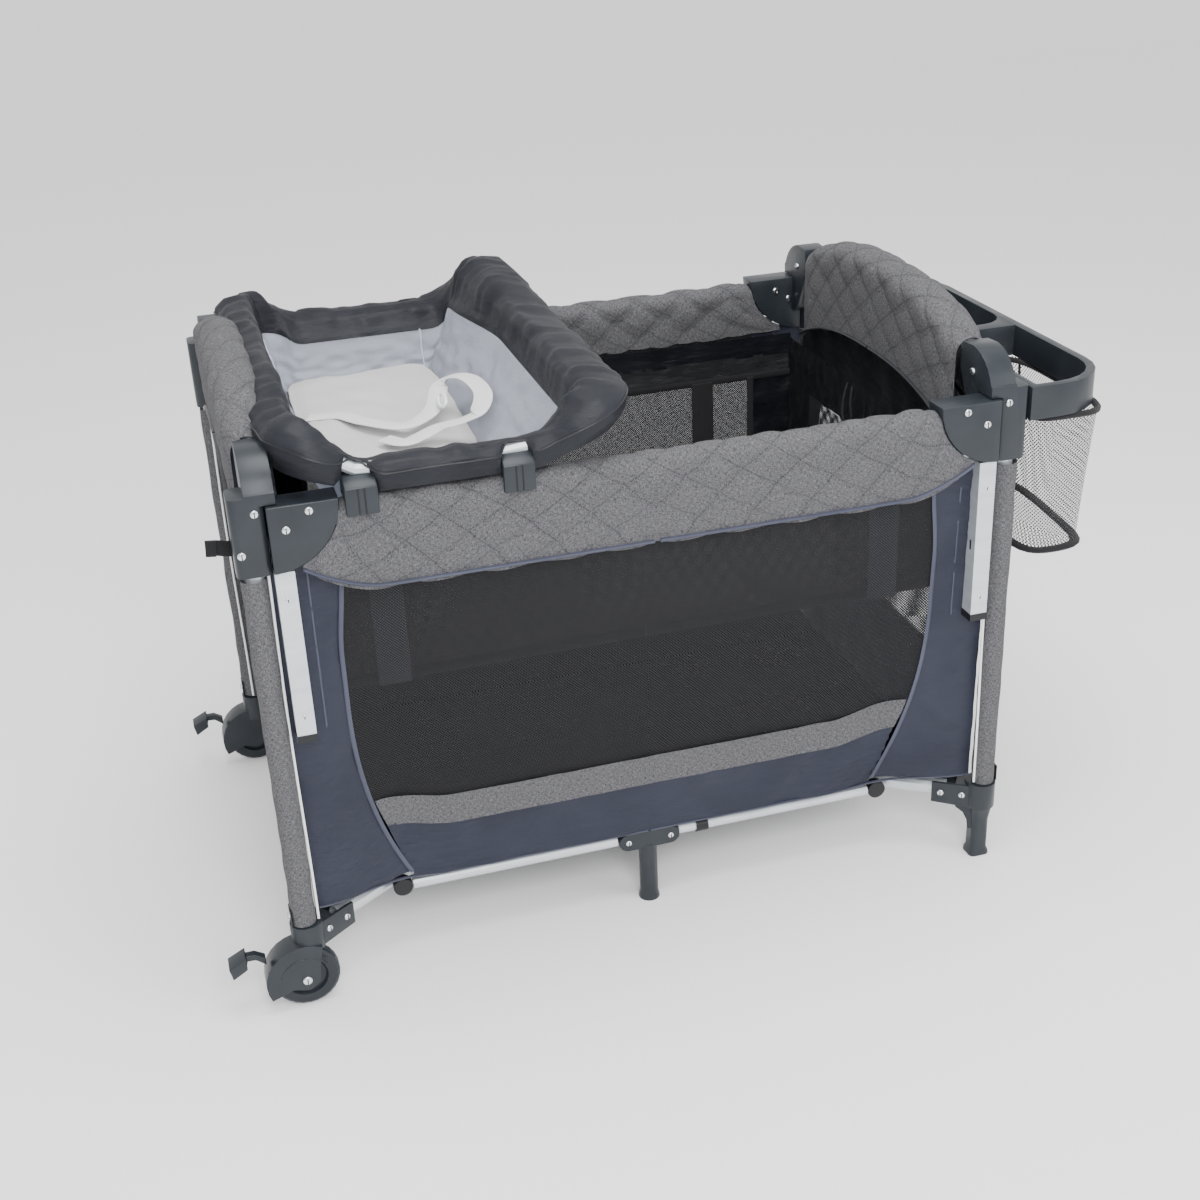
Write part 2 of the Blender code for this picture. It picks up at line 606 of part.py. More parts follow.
def changer_path():
    outline = rounded_rectangle(CHANGER_X0, -CHANGER_Y, CHANGER_X1, CHANGER_Y, 0.070, 6)
    dense = []
    for i, (x, y) in enumerate(outline):
        after = outline[(i + 1) % len(outline)]
        gap = math.hypot(after[0] - x, after[1] - y)
        count = max(1, round(gap / 0.06))
        dense += [(x + (after[0] - x) * k / count, y + (after[1] - y) * k / count) for k in range(count)]
    ring = [Vector((x, y, changer_height(x))) for x, y in dense]
    start = next(i for i, p in enumerate(ring) if p.x < CHANGER_X0 + TOUCH and abs(p.y) < 0.04)
    ring = ring[start:] + ring[:start]
    return ring + [ring[0].lerp(ring[-1], TOUCH / (ring[0] - ring[-1]).length)]


def make_changer():
    """The ring is one bent tube whose ends meet at the left. Four hooks below it go over the long rails."""
    frame = node("changer_frame", tube(changer_path(), RING_R, (0, 0, 1), TUBE_WALL, 10), "steel")
    for x in CLIP_X:
        for sy in (-1, 1):
            y = sy * CHANGER_Y
            clip = [(y - sy * 0.012, 0.7165), (y + sy * 0.0205, 0.7165), (y + sy * 0.0205, 0.700)]
            clip += [(y + sy * 0.0260, 0.700), (y + sy * 0.0260, 0.733), (y + sy * 0.012, 0.742)]
            clip.append((y - sy * 0.012, 0.742))
            combine(frame, "UNION", prism(clip, x - CLIP_HALF, x + CLIP_HALF, sideways))
    levels = [(0.731, -0.418, -0.306, -0.078, 0.306, 0.045), (0.650, -0.388, -0.280, -0.106, 0.280, 0.040)]
    node("changer_tub", tray(levels, WALL, WALL), "light_fabric")
    pad = rounded_rectangle(-0.380, -0.272, -0.114, 0.272, 0.03)
    shape = prism(pad, 0.6545, 0.6690, lambda a, d, b: Vector((a, b, d)))
    node("changer_pad", shape, "light_fabric")


def organizer_outline(inset):
    """The organizer's rounded outline in (x, y), that far inside its edge."""
    near = arc((0.565, -0.262), 0.085 - inset, 0, -90, 6)
    far = arc((0.585, 0.135), 0.065 - inset, 90, 0, 5)
    inner = 0.520 + inset
    return [(inner, -0.347 + inset), (inner, 0.200 - inset)] + far + near


def flat(a, depth, b):
    return Vector((a, b, depth))


def make_organizer():
    """Tray with an open ring at the near end for the mesh pocket, and a deep bin at the far end."""
    shape = prism(organizer_outline(0), ORGANIZER_Z0, ORGANIZER_Z1, flat)
    organizer = node("organizer_tray", shape, "grey_plastic")
    bin_low = 0.622
    combine(organizer, "UNION", prism(rounded_rectangle(0.522, -0.078, 0.645, 0.195, 0.045), bin_low, 0.700, flat))
    wall = 0.012
    near = [(0.520 + wall, -0.092), (0.520 + wall, -0.347 + wall)]
    near += list(reversed(arc((0.565, -0.262), 0.085 - wall, 0, -90, 6))) + [(0.650 - wall, -0.092)]
    combine(organizer, "DIFFERENCE", prism(near, 0.60, 0.80, flat))
    far = rounded_rectangle(0.520 + wall, -0.070, 0.650 - wall, 0.188, 0.04)
    combine(organizer, "DIFFERENCE", prism(far, bin_low + 0.004, 0.80, flat))
    levels = [(ORGANIZER_Z0 - TOUCH, 0.526, -0.340, 0.645, -0.090, 0.055)]
    levels.append((0.480, 0.532, -0.330, 0.638, -0.110, 0.050))
    node("organizer_pocket", tray(levels, 0.003, 0.003), "black_fabric")


def main():
    for old in list(bpy.data.objects):
        bpy.data.objects.remove(old)
    for corner in CORNERS:
        make_post(corner)
        make_hub(corner)
        make_foot_bracket(corner)
        make_floor_arm(corner)
        make_knuckle(corner)
        if corner.sx < 0:
            make_caster(corner)
        if corner.sy < 0:
            make_drop_bracket(corner)
    make_floor_hub()
    for sy, row in ((-1, "front"), (1, "rear")):
        make_base_bars(sy, row)
        make_long_rails(sy, row)
        make_long_cover(sy, row)
    for sx, side in ((-1, "left"), (1, "right")):
        make_arch(sx, side)
        make_arch_cover(sx, side)
    make_enclosure()
    make_bassinet()
    make_changer()
    make_organizer()


main()
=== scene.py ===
"""Looks of the folding play yard: quilted sleeves, mesh and nylon walls, bassinet, changer and organizer,
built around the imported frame, with moulded, painted and woven procedural materials."""

import json
from math import cos, dist, exp, pi, radians, sin, sqrt

import bmesh
import bpy
from mathutils import Matrix, Vector, noise


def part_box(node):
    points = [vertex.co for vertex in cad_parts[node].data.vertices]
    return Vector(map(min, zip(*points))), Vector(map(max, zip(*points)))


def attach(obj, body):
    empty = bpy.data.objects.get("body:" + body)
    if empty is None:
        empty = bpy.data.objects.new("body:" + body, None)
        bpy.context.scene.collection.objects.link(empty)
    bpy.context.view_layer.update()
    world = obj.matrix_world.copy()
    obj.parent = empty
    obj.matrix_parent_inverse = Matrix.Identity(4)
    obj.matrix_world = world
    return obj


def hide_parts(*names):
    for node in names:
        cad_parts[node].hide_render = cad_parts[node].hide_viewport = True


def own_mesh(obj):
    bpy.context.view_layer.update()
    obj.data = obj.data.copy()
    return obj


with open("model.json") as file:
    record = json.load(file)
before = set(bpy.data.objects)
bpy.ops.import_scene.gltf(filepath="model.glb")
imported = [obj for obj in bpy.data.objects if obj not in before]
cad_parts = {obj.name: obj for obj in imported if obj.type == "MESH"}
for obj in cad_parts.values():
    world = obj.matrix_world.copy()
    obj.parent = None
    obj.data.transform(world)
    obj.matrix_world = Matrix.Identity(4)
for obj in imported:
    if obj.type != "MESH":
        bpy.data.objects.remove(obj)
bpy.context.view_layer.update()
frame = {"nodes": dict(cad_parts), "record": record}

# Driving dimensions, read from the frame. Metres.
POST_LOW, POST_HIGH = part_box("post_front_right")
POST_X, POST_Y = (POST_LOW.x + POST_HIGH.x) / 2, -(POST_LOW.y + POST_HIGH.y) / 2
RAIL_LOW, RAIL_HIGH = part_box("top_rail_front_left")
RAIL_Y, RAIL_Z = -(RAIL_LOW.y + RAIL_HIGH.y) / 2, (RAIL_LOW.z + RAIL_HIGH.z) / 2
COVER_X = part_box("rail_cover_front")[1].x
END_COVER_LOW, END_COVER_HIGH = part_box("rail_cover_right")
ARCH_X = (END_COVER_LOW.x + END_COVER_HIGH.x) / 2
ARCH_END, ARCH_TOP = END_COVER_HIGH.y, END_COVER_HIGH.z
FLOOR_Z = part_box("fabric_enclosure")[0].z
FLOOR_X, FLOOR_Y = 0.458, 0.266
BASSINET_LOW, BASSINET_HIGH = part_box("bassinet_insert")
MATTRESS_LOW, MATTRESS_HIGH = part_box("mattress")
TUB_LOW, TUB_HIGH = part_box("changer_tub")
RING_LOW, RING_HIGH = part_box("changer_frame")
POCKET_LOW, POCKET_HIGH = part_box("organizer_pocket")
DROP_SEAM_Z = 0.405  # the front wall is parted here, so that its upper half can drop with the rail
FOLDED = 0.35  # how far the posts close in, as a share of their distance
RIGHT, UP, FRONT = Vector((1, 0, 0)), Vector((0, 0, 1)), Vector((0, -1, 0))
SIDES = (("left", -1), ("right", 1))
ROWS = (("front", -1), ("rear", 1))

CAMERA_AT = Vector((-0.5695, -2.1352, 1.4377))
CAMERA_YAW, CAMERA_PITCH, CAMERA_ROLL = 15.422, 26.068, -2.667
CAMERA_LENS = 48.93


# ---- materials


class Shader:
    """A Principled material and short ways to add nodes to it."""

    def __init__(self, name):
        self.material = bpy.data.materials.new(name)
        self.material.use_nodes = True
        self.tree = self.material.node_tree
        self.bsdf = self.tree.nodes["Principled BSDF"]
        self.coords = self.tree.nodes.new("ShaderNodeTexCoord")

    def put(self, value, socket):
        if isinstance(value, bpy.types.NodeSocket):
            self.tree.links.new(value, socket)
        else:
            socket.default_value = value

    def add(self, kind, *values):
        """Adds a node and puts the values into its first inputs."""
        made = self.tree.nodes.new("ShaderNode" + kind)
        for value, socket in zip(values, made.inputs):
            self.put(value, socket)
        return made

    def math(self, operation, a, b=0.0):
        made = self.add("Math", a, b)
        made.operation = operation
        return made.outputs[0]

    def axes(self, space):
        return self.add("SeparateXYZ", self.coords.outputs[space]).outputs

    def noise(self, space, scale, detail=2.0, roughness=0.5):
        """Noise in the space's coordinates, with its own scale along each axis. It is 0 to 1 about 0.5."""
        mapping = self.add("Mapping", self.coords.outputs[space])
        mapping.inputs["Scale"].default_value = scale
        made = self.add("TexNoise", mapping.outputs[0])
        for name, value in (("Scale", 1.0), ("Detail", detail), ("Roughness", roughness)):
            made.inputs[name].default_value = value
        return made.outputs["Fac"]

    def blend(self, factor, first, second):
        made = self.add("Mix")
        made.data_type = "RGBA"
        self.put(factor, made.inputs["Factor"])
        for value, socket in ((first, made.inputs[6]), (second, made.inputs[7])):
            self.put(value if isinstance(value, bpy.types.NodeSocket) else (*value, 1), socket)
        return made.outputs[2]

    def spread(self, value, low, high, to_low=0.0, to_high=1.0):
        return self.add("MapRange", value, low, high, to_low, to_high).outputs[0]

    def bump(self, height, distance, strength=1.0):
        """Adds a bump on top of the bumps that the shader already has."""
        made = self.tree.nodes.new("ShaderNodeBump")
        made.inputs["Strength"].default_value = strength
        made.inputs["Distance"].default_value = distance
        self.put(height, made.inputs["Height"])
        last = self.bsdf.inputs["Normal"].links
        if last:
            self.put(last[0].from_socket, made.inputs["Normal"])
        self.put(made.outputs[0], self.bsdf.inputs["Normal"])

    def finish(self, colour, roughness, metallic=0.0, sheen=0.0, specular=0.5):
        values = (("Base Color", colour), ("Roughness", roughness), ("Metallic", metallic),
                  ("Sheen Weight", sheen), ("Specular IOR Level", specular))
        for name, value in values:
            self.put(value, self.bsdf.inputs[name])
        return self.material


def plastic(name, colour, rough=0.36):
    """Moulded plastic with a fine spark-eroded grain and slight wear."""
    shader = Shader(name)
    grain = shader.noise("Object", (1600, 1600, 1600), 2)
    cloud = shader.noise("Object", (22, 22, 22), 3)
    pale = tuple(min(1, c * 1.25 + 0.002) for c in colour)
    shader.bump(grain, 0.00008, 0.5)
    tint = shader.blend(shader.spread(cloud, 0.35, 0.75), colour, pale)
    return shader.finish(tint, shader.spread(cloud, 0.3, 0.7, rough - 0.06, rough + 0.08), specular=0.34)


def painted_steel():
    """Silver-grey powder coat with a fine orange-peel surface."""
    shader = Shader("painted_steel")
    peel = shader.noise("Object", (420, 420, 420), 2)
    cloud = shader.noise("Object", (14, 14, 60), 3)
    shader.bump(peel, 0.00012, 0.5)
    tint = shader.blend(shader.spread(cloud, 0.3, 0.75), (0.50, 0.54, 0.57), (0.62, 0.65, 0.68))
    return shader.finish(tint, shader.spread(cloud, 0.3, 0.7, 0.30, 0.42), 0.55)


def bright_steel():
    """Zinc-plated rivets and bolts."""
    shader = Shader("bright_steel")
    scratch = shader.noise("Object", (900, 900, 900), 2)
    tint = shader.blend(scratch, (0.62, 0.64, 0.66), (0.82, 0.83, 0.85))
    return shader.finish(tint, shader.spread(scratch, 0.3, 0.7, 0.16, 0.32), 1.0)


NYLON_THICK, CLOTH_THICK, QUILT_THICK = 0.001, 0.0012, 0.0022
QUILT_U, QUILT_V = 0.078, 0.056  # a diamond of the quilting
STITCH = 0.0034  # from stitch to stitch


def melange(name, quilted, shade=1.0):
    """Melange weave of dark and light threads. Where it is quilted it has stitched diamonds with dashed dark
    stitches, and painted shade: the colour darkens in a soft band along each stitch line, for the shade in
    the quilting's valleys.
    """
    shader = Shader(name)
    dark, light, seam = (tuple(c * shade for c in tone) for tone in
                         ((0.060, 0.060, 0.066), (0.300, 0.298, 0.315), (0.040, 0.040, 0.046)))
    warp = shader.noise("UV", (1300, 210, 1), 3, 0.7)
    weft = shader.noise("UV", (210, 1300, 1), 3, 0.7)
    threads = shader.math("MULTIPLY", shader.math("ADD", warp, weft), 0.5)
    mottle = shader.noise("UV", (260, 260, 1), 3, 0.7)
    mixed = shader.math("ADD", shader.math("MULTIPLY", threads, 0.85), shader.math("MULTIPLY", mottle, 0.15))
    colour = shader.blend(shader.spread(mixed, 0.41, 0.59), dark, light)
    if quilted:
        u, v, _ = shader.axes("UV")
        lines = []
        for sign in ("ADD", "SUBTRACT"):
            along, across = shader.math("DIVIDE", u, QUILT_U), shader.math("DIVIDE", v, QUILT_V)
            wave = shader.math("FRACT", shader.math(sign, along, across))
            lines.append(shader.math("ABSOLUTE", shader.math("SUBTRACT", wave, 0.5)))
        nearest = shader.math("MAXIMUM", *lines)
        dash = shader.math("SINE", shader.math("MULTIPLY", u, 2 * pi / STITCH))
        # painted shade: a broad soft band along the stitch lines is blended towards the dark thread tone, for
        # the shade in the quilting's valleys
        colour = shader.blend(shader.spread(nearest, 0.38, 0.50, 0.0, 0.14), colour, dark)
        stitch = shader.spread(dash, -0.6, 0.2, 0.20, 0.65)
        line = shader.math("MULTIPLY", shader.spread(nearest, 0.484, 0.496), stitch)
        colour = shader.blend(line, colour, seam)
    shader.bump(threads, 0.0005, 0.5)
    return shader.finish(colour, 0.95, sheen=0.05, specular=0.1)


def nylon(name, dark, light, rough=0.46, creases=0.0025):
    """Plain-weave nylon with a soft sheen and shallow creases."""
    shader = Shader(name)
    warp = shader.noise("UV", (2600, 500, 1), 1)
    weft = shader.noise("UV", (500, 2600, 1), 1)
    weave = shader.math("MULTIPLY", shader.math("ADD", warp, weft), 0.5)
    shader.bump(shader.noise("Object", (14, 14, 46), 5, 0.55), creases, 0.9)
    shader.bump(weave, 0.0003, 0.35)
    cloud = shader.spread(shader.noise("Object", (9, 9, 9), 3), 0.3, 0.7)
    mixed = shader.math("ADD", shader.math("MULTIPLY", cloud, 0.5), shader.math("MULTIPLY", weave, 0.5))
    return shader.finish(shader.blend(mixed, dark, light), rough, sheen=0.03, specular=0.3)


def net(name, pitch, strand, dark, light):
    """Open knitted mesh: diamond holes in rows, with the strands a little glossy."""
    shader = Shader(name)
    u, v, _ = shader.axes("UV")
    waves = [shader.math("SINE", shader.math("MULTIPLY", axis, 2 * pi / pitch)) for axis in (u, v)]
    holes = shader.math("MULTIPLY", *waves)
    colour = shader.blend(shader.spread(shader.noise("UV", (500, 500, 1), 2), 0.35, 0.65), dark, light)
    shader.put(shader.spread(holes, strand, strand + 0.14, 1.0, 0.02), shader.bsdf.inputs["Alpha"])
    shader.bump(holes, 0.0004, 0.4)
    return shader.finish(colour, 0.6, specular=0.2)


def webbing(name, dark, light):
    """Woven strap with cross ribs."""
    shader = Shader(name)
    v = shader.axes("UV")[1]
    thread = shader.noise("UV", (1800, 1800, 1), 1)
    shader.bump(shader.math("SINE", shader.math("MULTIPLY", v, 2 * pi / 0.0016)), 0.0003, 0.6)
    return shader.finish(shader.blend(thread, dark, light), 0.75, sheen=0.1, specular=0.2)


NET_DARK, NET_LIGHT = (0.006, 0.006, 0.007), (0.020, 0.020, 0.023)
BORDER_DARK, BORDER_LIGHT = (0.020, 0.0215, 0.028), (0.040, 0.043, 0.054)
BLACK, DARK, LIGHT = "black_fabric", "dark_fabric", "light_fabric"
# Each look's material and its slot.
LOOKS = {
    "plastic": (plastic("moulded_plastic", (0.0145, 0.0185, 0.0230)), "grey_plastic"),
    "black_plastic": (plastic("black_plastic", (0.006, 0.0065, 0.008), 0.42), "black_plastic"),
    "wheel": (plastic("wheel_plastic", (0.0115, 0.0150, 0.0195), 0.34), "tyre"),
    "steel": (painted_steel(), "steel"),
    "rivet": (bright_steel(), "steel"),
    "quilt": (melange("quilted_melange", True), "melange"),
    "melange": (melange("melange_cloth", False), "melange"),
    "mattress": (melange("mattress_mesh_cloth", True, 0.24), "melange"),
    "slate": (nylon("slate_nylon", (0.034, 0.038, 0.060), (0.062, 0.067, 0.101)), DARK),
    "band": (nylon("black_nylon", (0.006, 0.0065, 0.009), (0.017, 0.018, 0.024), 0.40, 0.004), DARK),
    "crumpled": (nylon("crumpled_nylon", (0.020, 0.021, 0.024), (0.042, 0.043, 0.048), 0.55, 0.005), DARK),
    "border": (nylon("changer_border_nylon", BORDER_DARK, BORDER_LIGHT, 0.42, 0.005), DARK),
    "inner": (nylon("changer_lining_nylon", (0.46, 0.485, 0.56), (0.58, 0.61, 0.69), 0.5), LIGHT),
    "pad": (nylon("changer_pad_cloth", (0.47, 0.465, 0.46), (0.59, 0.58, 0.575), 0.65, 0.003), LIGHT),
    "floor": (melange("floor_cloth", False, 0.07), BLACK),
    "net": (net("black_mesh", 0.0042, 0.24, NET_DARK, NET_LIGHT), BLACK),
    "rear_net": (net("rear_wall_mesh", 0.0013, 0.30, NET_DARK, NET_LIGHT), BLACK),
    "inner_net": (net("bassinet_mesh", 0.0036, 0.36, (0.014, 0.014, 0.016), (0.038, 0.038, 0.042)), BLACK),
    "pocket_net": (net("pocket_mesh", 0.0052, -0.26, (0.012, 0.012, 0.013), (0.05, 0.05, 0.055)), BLACK),
    "white": (nylon("white_piping", (0.80, 0.81, 0.82), (0.92, 0.93, 0.94), 0.5, 0.0005), LIGHT),
    "strap": (webbing("black_webbing", (0.005, 0.005, 0.006), (0.016, 0.016, 0.018)), BLACK),
    "blue_strap": (webbing("slate_webbing", (0.045, 0.055, 0.068), (0.075, 0.088, 0.105)), DARK),
    "white_strap": (webbing("white_webbing", (0.62, 0.62, 0.63), (0.78, 0.78, 0.79)), LIGHT),
}


# ---- mesh helpers


def link(made):
    bpy.context.scene.collection.objects.link(made)


def lerp(a, b, t):
    return a + (b - a) * t


def ease(t):
    t = min(max(t, 0), 1)
    return t * t * (3 - 2 * t)


def along(count, place):
    """The places from place(0) to place(1) in equal steps."""
    return [place(i / count) for i in range(count + 1)]


def running_lengths(points):
    """How far along the line through the points each of them is."""
    lengths = [0.0]
    for a, b in zip(points, points[1:]):
        lengths.append(lengths[-1] + (b - a).length)
    return lengths


def place_along(points, lengths, want):
    """The place at a length along the line through the points."""
    k = max(i for i in range(len(points) - 1) if lengths[i] <= want + 1e-9)
    return points[k].lerp(points[k + 1], (want - lengths[k]) / (lengths[k + 1] - lengths[k]))


def rounded_square(s, power):
    """The place at s, from 0 to 1, of the way round a square from -1 to 1 with rounded corners."""
    a, b = cos(2 * pi * s), sin(2 * pi * s)
    far = (abs(a) ** power + abs(b) ** power) ** (1 / power)
    return a / far, b / far


def new_mesh(name, shape):
    """Turns a bmesh into a mesh."""
    mesh = bpy.data.meshes.new(name)
    shape.to_mesh(mesh)
    shape.free()
    return mesh


def piece(name, mesh, look, body, squash=None):
    """Links a mesh as a piece that rides on a body. squash is (joint, axis, anchor, keep); only whether it is
    given is used: then the piece gets its own copy of the mesh.
    """
    material, slot = LOOKS[look]
    made = bpy.data.objects.new(name, mesh)
    link(made)
    mesh.materials.append(material)
    mesh.shade_smooth()
    mesh.set_sharp_from_angle(angle=radians(60))
    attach(made, body)
    if squash:
        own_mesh(made)
    return made


def grid_mesh(name, point, columns, rows, closed=False, thickness=0.0):
    """A sheet through point(s, t), for s and t from 0 to 1, with its UVs in metres and maybe a thickness.
    Returns the mesh with the sheet's width, length and area."""
    steps = columns if closed else columns + 1
    places = [[Vector(point(i / columns, j / rows)) for i in range(steps)] for j in range(rows + 1)]
    shape = bmesh.new()
    uv = shape.loops.layers.uv.new("UVMap")
    verts = [[shape.verts.new(p) for p in row] for row in places]
    lengths = [running_lengths(row + [row[0]] if closed else row) for row in places]
    heights = [0.0]
    for low, high in zip(places, places[1:]):
        gaps = [(b - a).length for a, b in zip(low, high)]
        heights.append(heights[-1] + sum(gaps) / len(gaps))
    middle = lengths[rows // 2][-1] / 2
    area = 0.0
    for j in range(rows):
        for i in range(columns):
            k = (i + 1) % steps
            face = shape.faces.new((verts[j][i], verts[j][k], verts[j + 1][k], verts[j + 1][i]))
            area += face.calc_area()
            corners = ((j, i), (j, i + 1), (j + 1, i + 1), (j + 1, i))
            for loop, (row, column) in zip(face.loops, corners):
                loop[uv].uv = (lengths[row][column] - lengths[row][-1] / 2 + middle, heights[row])
    if thickness:
        bmesh.ops.solidify(shape, geom=shape.faces[:], thickness=thickness)
        bmesh.ops.recalc_face_normals(shape, faces=shape.faces)
    return new_mesh(name, shape), max(row[-1] for row in lengths), heights[-1], area


def cloth(name, point, columns, rows, look, body, squash=None, closed=False, thickness=0.0):
    """A sheet of cloth. The flat size that it is cut to is worked out but not used."""
    mesh, width, length, area = grid_mesh(name, point, columns, rows, closed, thickness)
    made = piece(name, mesh, look, body, squash)
    return made


def cushion(name, point, columns, rows, look, body, squash=None, flat_uv=False):
    """A closed body around point(s, t), with both its ends filled."""
    mesh, *_ = grid_mesh(name, point, columns, rows, closed=True)
    shape = bmesh.new()
    shape.from_mesh(mesh)
    bmesh.ops.holes_fill(shape, edges=[e for e in shape.edges if e.is_boundary])
    bmesh.ops.recalc_face_normals(shape, faces=shape.faces)
    if flat_uv:
        uv = shape.loops.layers.uv.verify()
        for face in shape.faces:
            for loop in face.loops:
                loop[uv].uv = (loop.vert.co.x, loop.vert.co.y)
    shape.to_mesh(mesh)
    shape.free()
    return piece(name, mesh, look, body, squash)


def sweep(name, path, profile, look, body, closed=False, squash=None, side=UP):
    """A solid swept along the path. profile is a list of (a, b): a along side x tangent, b along side."""
    shape = bmesh.new()
    uv = shape.loops.layers.uv.new("UVMap")
    path = [Vector(p) for p in path]
    rings, far = [], [0.0]
    for i, point in enumerate(path):
        ahead = path[(i + 1) % len(path)] if closed or i + 1 < len(path) else point
        behind = path[i - 1] if closed or i else point
        tangent = (ahead - behind).normalized()
        across = side.cross(tangent)
        if across.length < 1e-4:
            across = RIGHT.cross(tangent)
        across.normalize()
        lift = tangent.cross(across)
        rings.append([shape.verts.new(point + across * a + lift * b) for a, b in profile])
        far.append(far[-1] + (ahead - point).length)
    around = [0.0]
    for k in range(len(profile)):
        around.append(around[-1] + dist(profile[k], profile[(k + 1) % len(profile)]))
    for i in range(len(path) if closed else len(path) - 1):
        first, second = rings[i], rings[(i + 1) % len(path)]
        for k in range(len(profile)):
            m = (k + 1) % len(profile)
            face = shape.faces.new((first[k], first[m], second[m], second[k]))
            corners = ((k, i), (k + 1, i), (k + 1, i + 1), (k, i + 1))
            for loop, (a, b) in zip(face.loops, corners):
                loop[uv].uv = (around[a], far[b])
    if not closed:
        shape.faces.new(rings[0])
        shape.faces.new(rings[-1])
    bmesh.ops.recalc_face_normals(shape, faces=shape.faces)
    made = piece(name, new_mesh(name, shape), look, body, squash)
    made.data.set_sharp_from_angle(angle=radians(50))
    return made


def round_edges(made, width):
    """Bevels a piece's sharp edges."""
    shape = bmesh.new()
    shape.from_mesh(made.data)
    sharp = [e for e in shape.edges if e.is_manifold and e.calc_face_angle() > radians(35)]
    bmesh.ops.bevel(shape, geom=sharp, offset=width, segments=2, profile=0.5, affect="EDGES")
    shape.to_mesh(made.data)
    shape.free()
    made.data.shade_smooth()
    made.data.set_sharp_from_angle(angle=radians(40))


def circle(radius, sides=8, flat=1.0):
    turns = [2 * pi * i / sides for i in range(sides)]
    return [(radius * cos(t), radius * flat * sin(t)) for t in turns]


def strip(width, thick):
    """The section of a flat strap with rounded edges."""
    w, t = width / 2, thick / 2
    half = [(w, -t / 2), (w, t / 2), (w - t, t), (-w + t, t)]
    return half + [(-a, -b) for a, b in half]


def smooth_path(points, count):
    """A Catmull-Rom curve through the points."""
    points = [Vector(p) for p in points]
    ends = [points[0] * 2 - points[1]] + points + [points[-1] * 2 - points[-2]]
    made = []
    for i in range(count + 1):
        place = i / count * (len(points) - 1)
        k = min(int(place), len(points) - 2)
        t = place - k
        a, b, c, d = ends[k : k + 4]
        made.append(
            0.5 * (2 * b + (c - a) * t + (2 * a - 5 * b + 4 * c - d) * t * t + (3 * b - a - 3 * c + d) * t**3)
        )
    return made


def moulded(node, width, look):
    """Stands for a CAD node: the same solid with its edges rounded."""
    name = node + "_shell"
    shape = bmesh.new()
    shape.from_mesh(frame["nodes"][node].data)
    bmesh.ops.remove_doubles(shape, verts=shape.verts, dist=1e-5)
    bmesh.ops.dissolve_limit(shape, angle_limit=radians(1), verts=shape.verts, edges=shape.edges)
    mesh = new_mesh(name, shape)
    mesh.materials.clear()
    made = bpy.data.objects.new(name, mesh)
    link(made)
    bevel = made.modifiers.new("bevel", "BEVEL")
    bevel.width = width
    bevel.segments = 3
    bevel.limit_method = "ANGLE"
    bevel.angle_limit = radians(35)
    bevel.miter_outer = "MITER_ARC"
    rounded = bpy.data.meshes.new_from_object(made.evaluated_get(bpy.context.evaluated_depsgraph_get()))
    bpy.data.objects.remove(made)
    bodies = frame["record"]["behaviour"]["bodies"]
    made = piece(name, rounded, look, next(body for body, members in bodies.items() if node in members))
    rounded.set_sharp_from_angle(angle=radians(40))
    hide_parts(node)


def rivets(name, places, body, radius=0.0052, proud=0.0026):
    """Domed screw heads, each with a thin black box standing just proud of its top as painted shade for the
    recess of its driver slot. Each place is (point, outward direction).
    """
    sides = 20
    dome = ((1.0, -0.001), (1.0, proud * 0.30), (0.92, proud * 0.62), (0.7, proud * 0.9), (0.35, proud))
    heads, slot_shades = bmesh.new(), bmesh.new()
    for point, out in places:
        turn = Vector(out).to_track_quat("Z", "Y").to_matrix().to_4x4()
        where = Matrix.Translation(Vector(point)) @ turn
        rings = [[heads.verts.new(where @ Vector((x, y, z))) for x, y in circle(radius * share, sides)]
                 for share, z in dome]
        for first, second in zip(rings, rings[1:]):
            for i in range(sides):
                k = (i + 1) % sides
                heads.faces.new((first[i], first[k], second[k], second[i]))
        heads.faces.new(rings[0])
        heads.faces.new(rings[-1])
        # painted shade: a thin black box at the dome's top, for the shaded recess of the driver slot
        cut = Matrix.Translation((0, 0, proud - 0.0001)) @ Matrix.Diagonal((0.0014, radius * 1.5, 0.0006, 1))
        bmesh.ops.create_cube(slot_shades, size=1.0, matrix=where @ cut)
    bmesh.ops.recalc_face_normals(heads, faces=heads.faces)
    piece(name, new_mesh(name, heads), "rivet", body)
    piece(name + "_slots", new_mesh(name + "_slots", slot_shades), "black_plastic", body)


def crumple(point, size, depth, seed=0.0):
    """A smooth random height for creases, at most about depth."""
    return depth * noise.noise(Vector(point) / size + Vector((seed, 0, 0)))


def pillow(u, v, height):
    """Height of the quilting above its stitched diamonds."""
    a, b = u / QUILT_U + v / QUILT_V, u / QUILT_U - v / QUILT_V
    return height * sqrt(abs(sin(pi * a) * sin(pi * b)))


# ---- hard parts

# Beginnings of node names, their look, and how far the edges of the shell that stands for them are rounded.
HARD_PARTS = (
    (("corner_hub", "drop_bracket"), "plastic", 0.0030),
    (("foot_bracket", "centre_foot", "brake_pedal"), "plastic", 0.0016),
    (("organizer_tray",), "plastic", 0.0045),
    (("knuckle", "floor_hub"), "black_plastic", 0.0015),
    (("rail_latch",), "black_plastic", 0.0),
    (("caster_wheel",), "wheel", 0.0),
    (("",), "steel", 0.0),
)


def dress_frame():
    """Materials for the CAD nodes that stay, and rounded shells for the moulded ones."""
    for node, source in list(frame["nodes"].items()):
        look, rounding = next(row[1:] for row in HARD_PARTS if node.startswith(row[0]))
        material, slot = LOOKS[look]
        source.data.materials.clear()
        source.data.materials.append(material)
        if rounding:
            moulded(node, rounding, look)


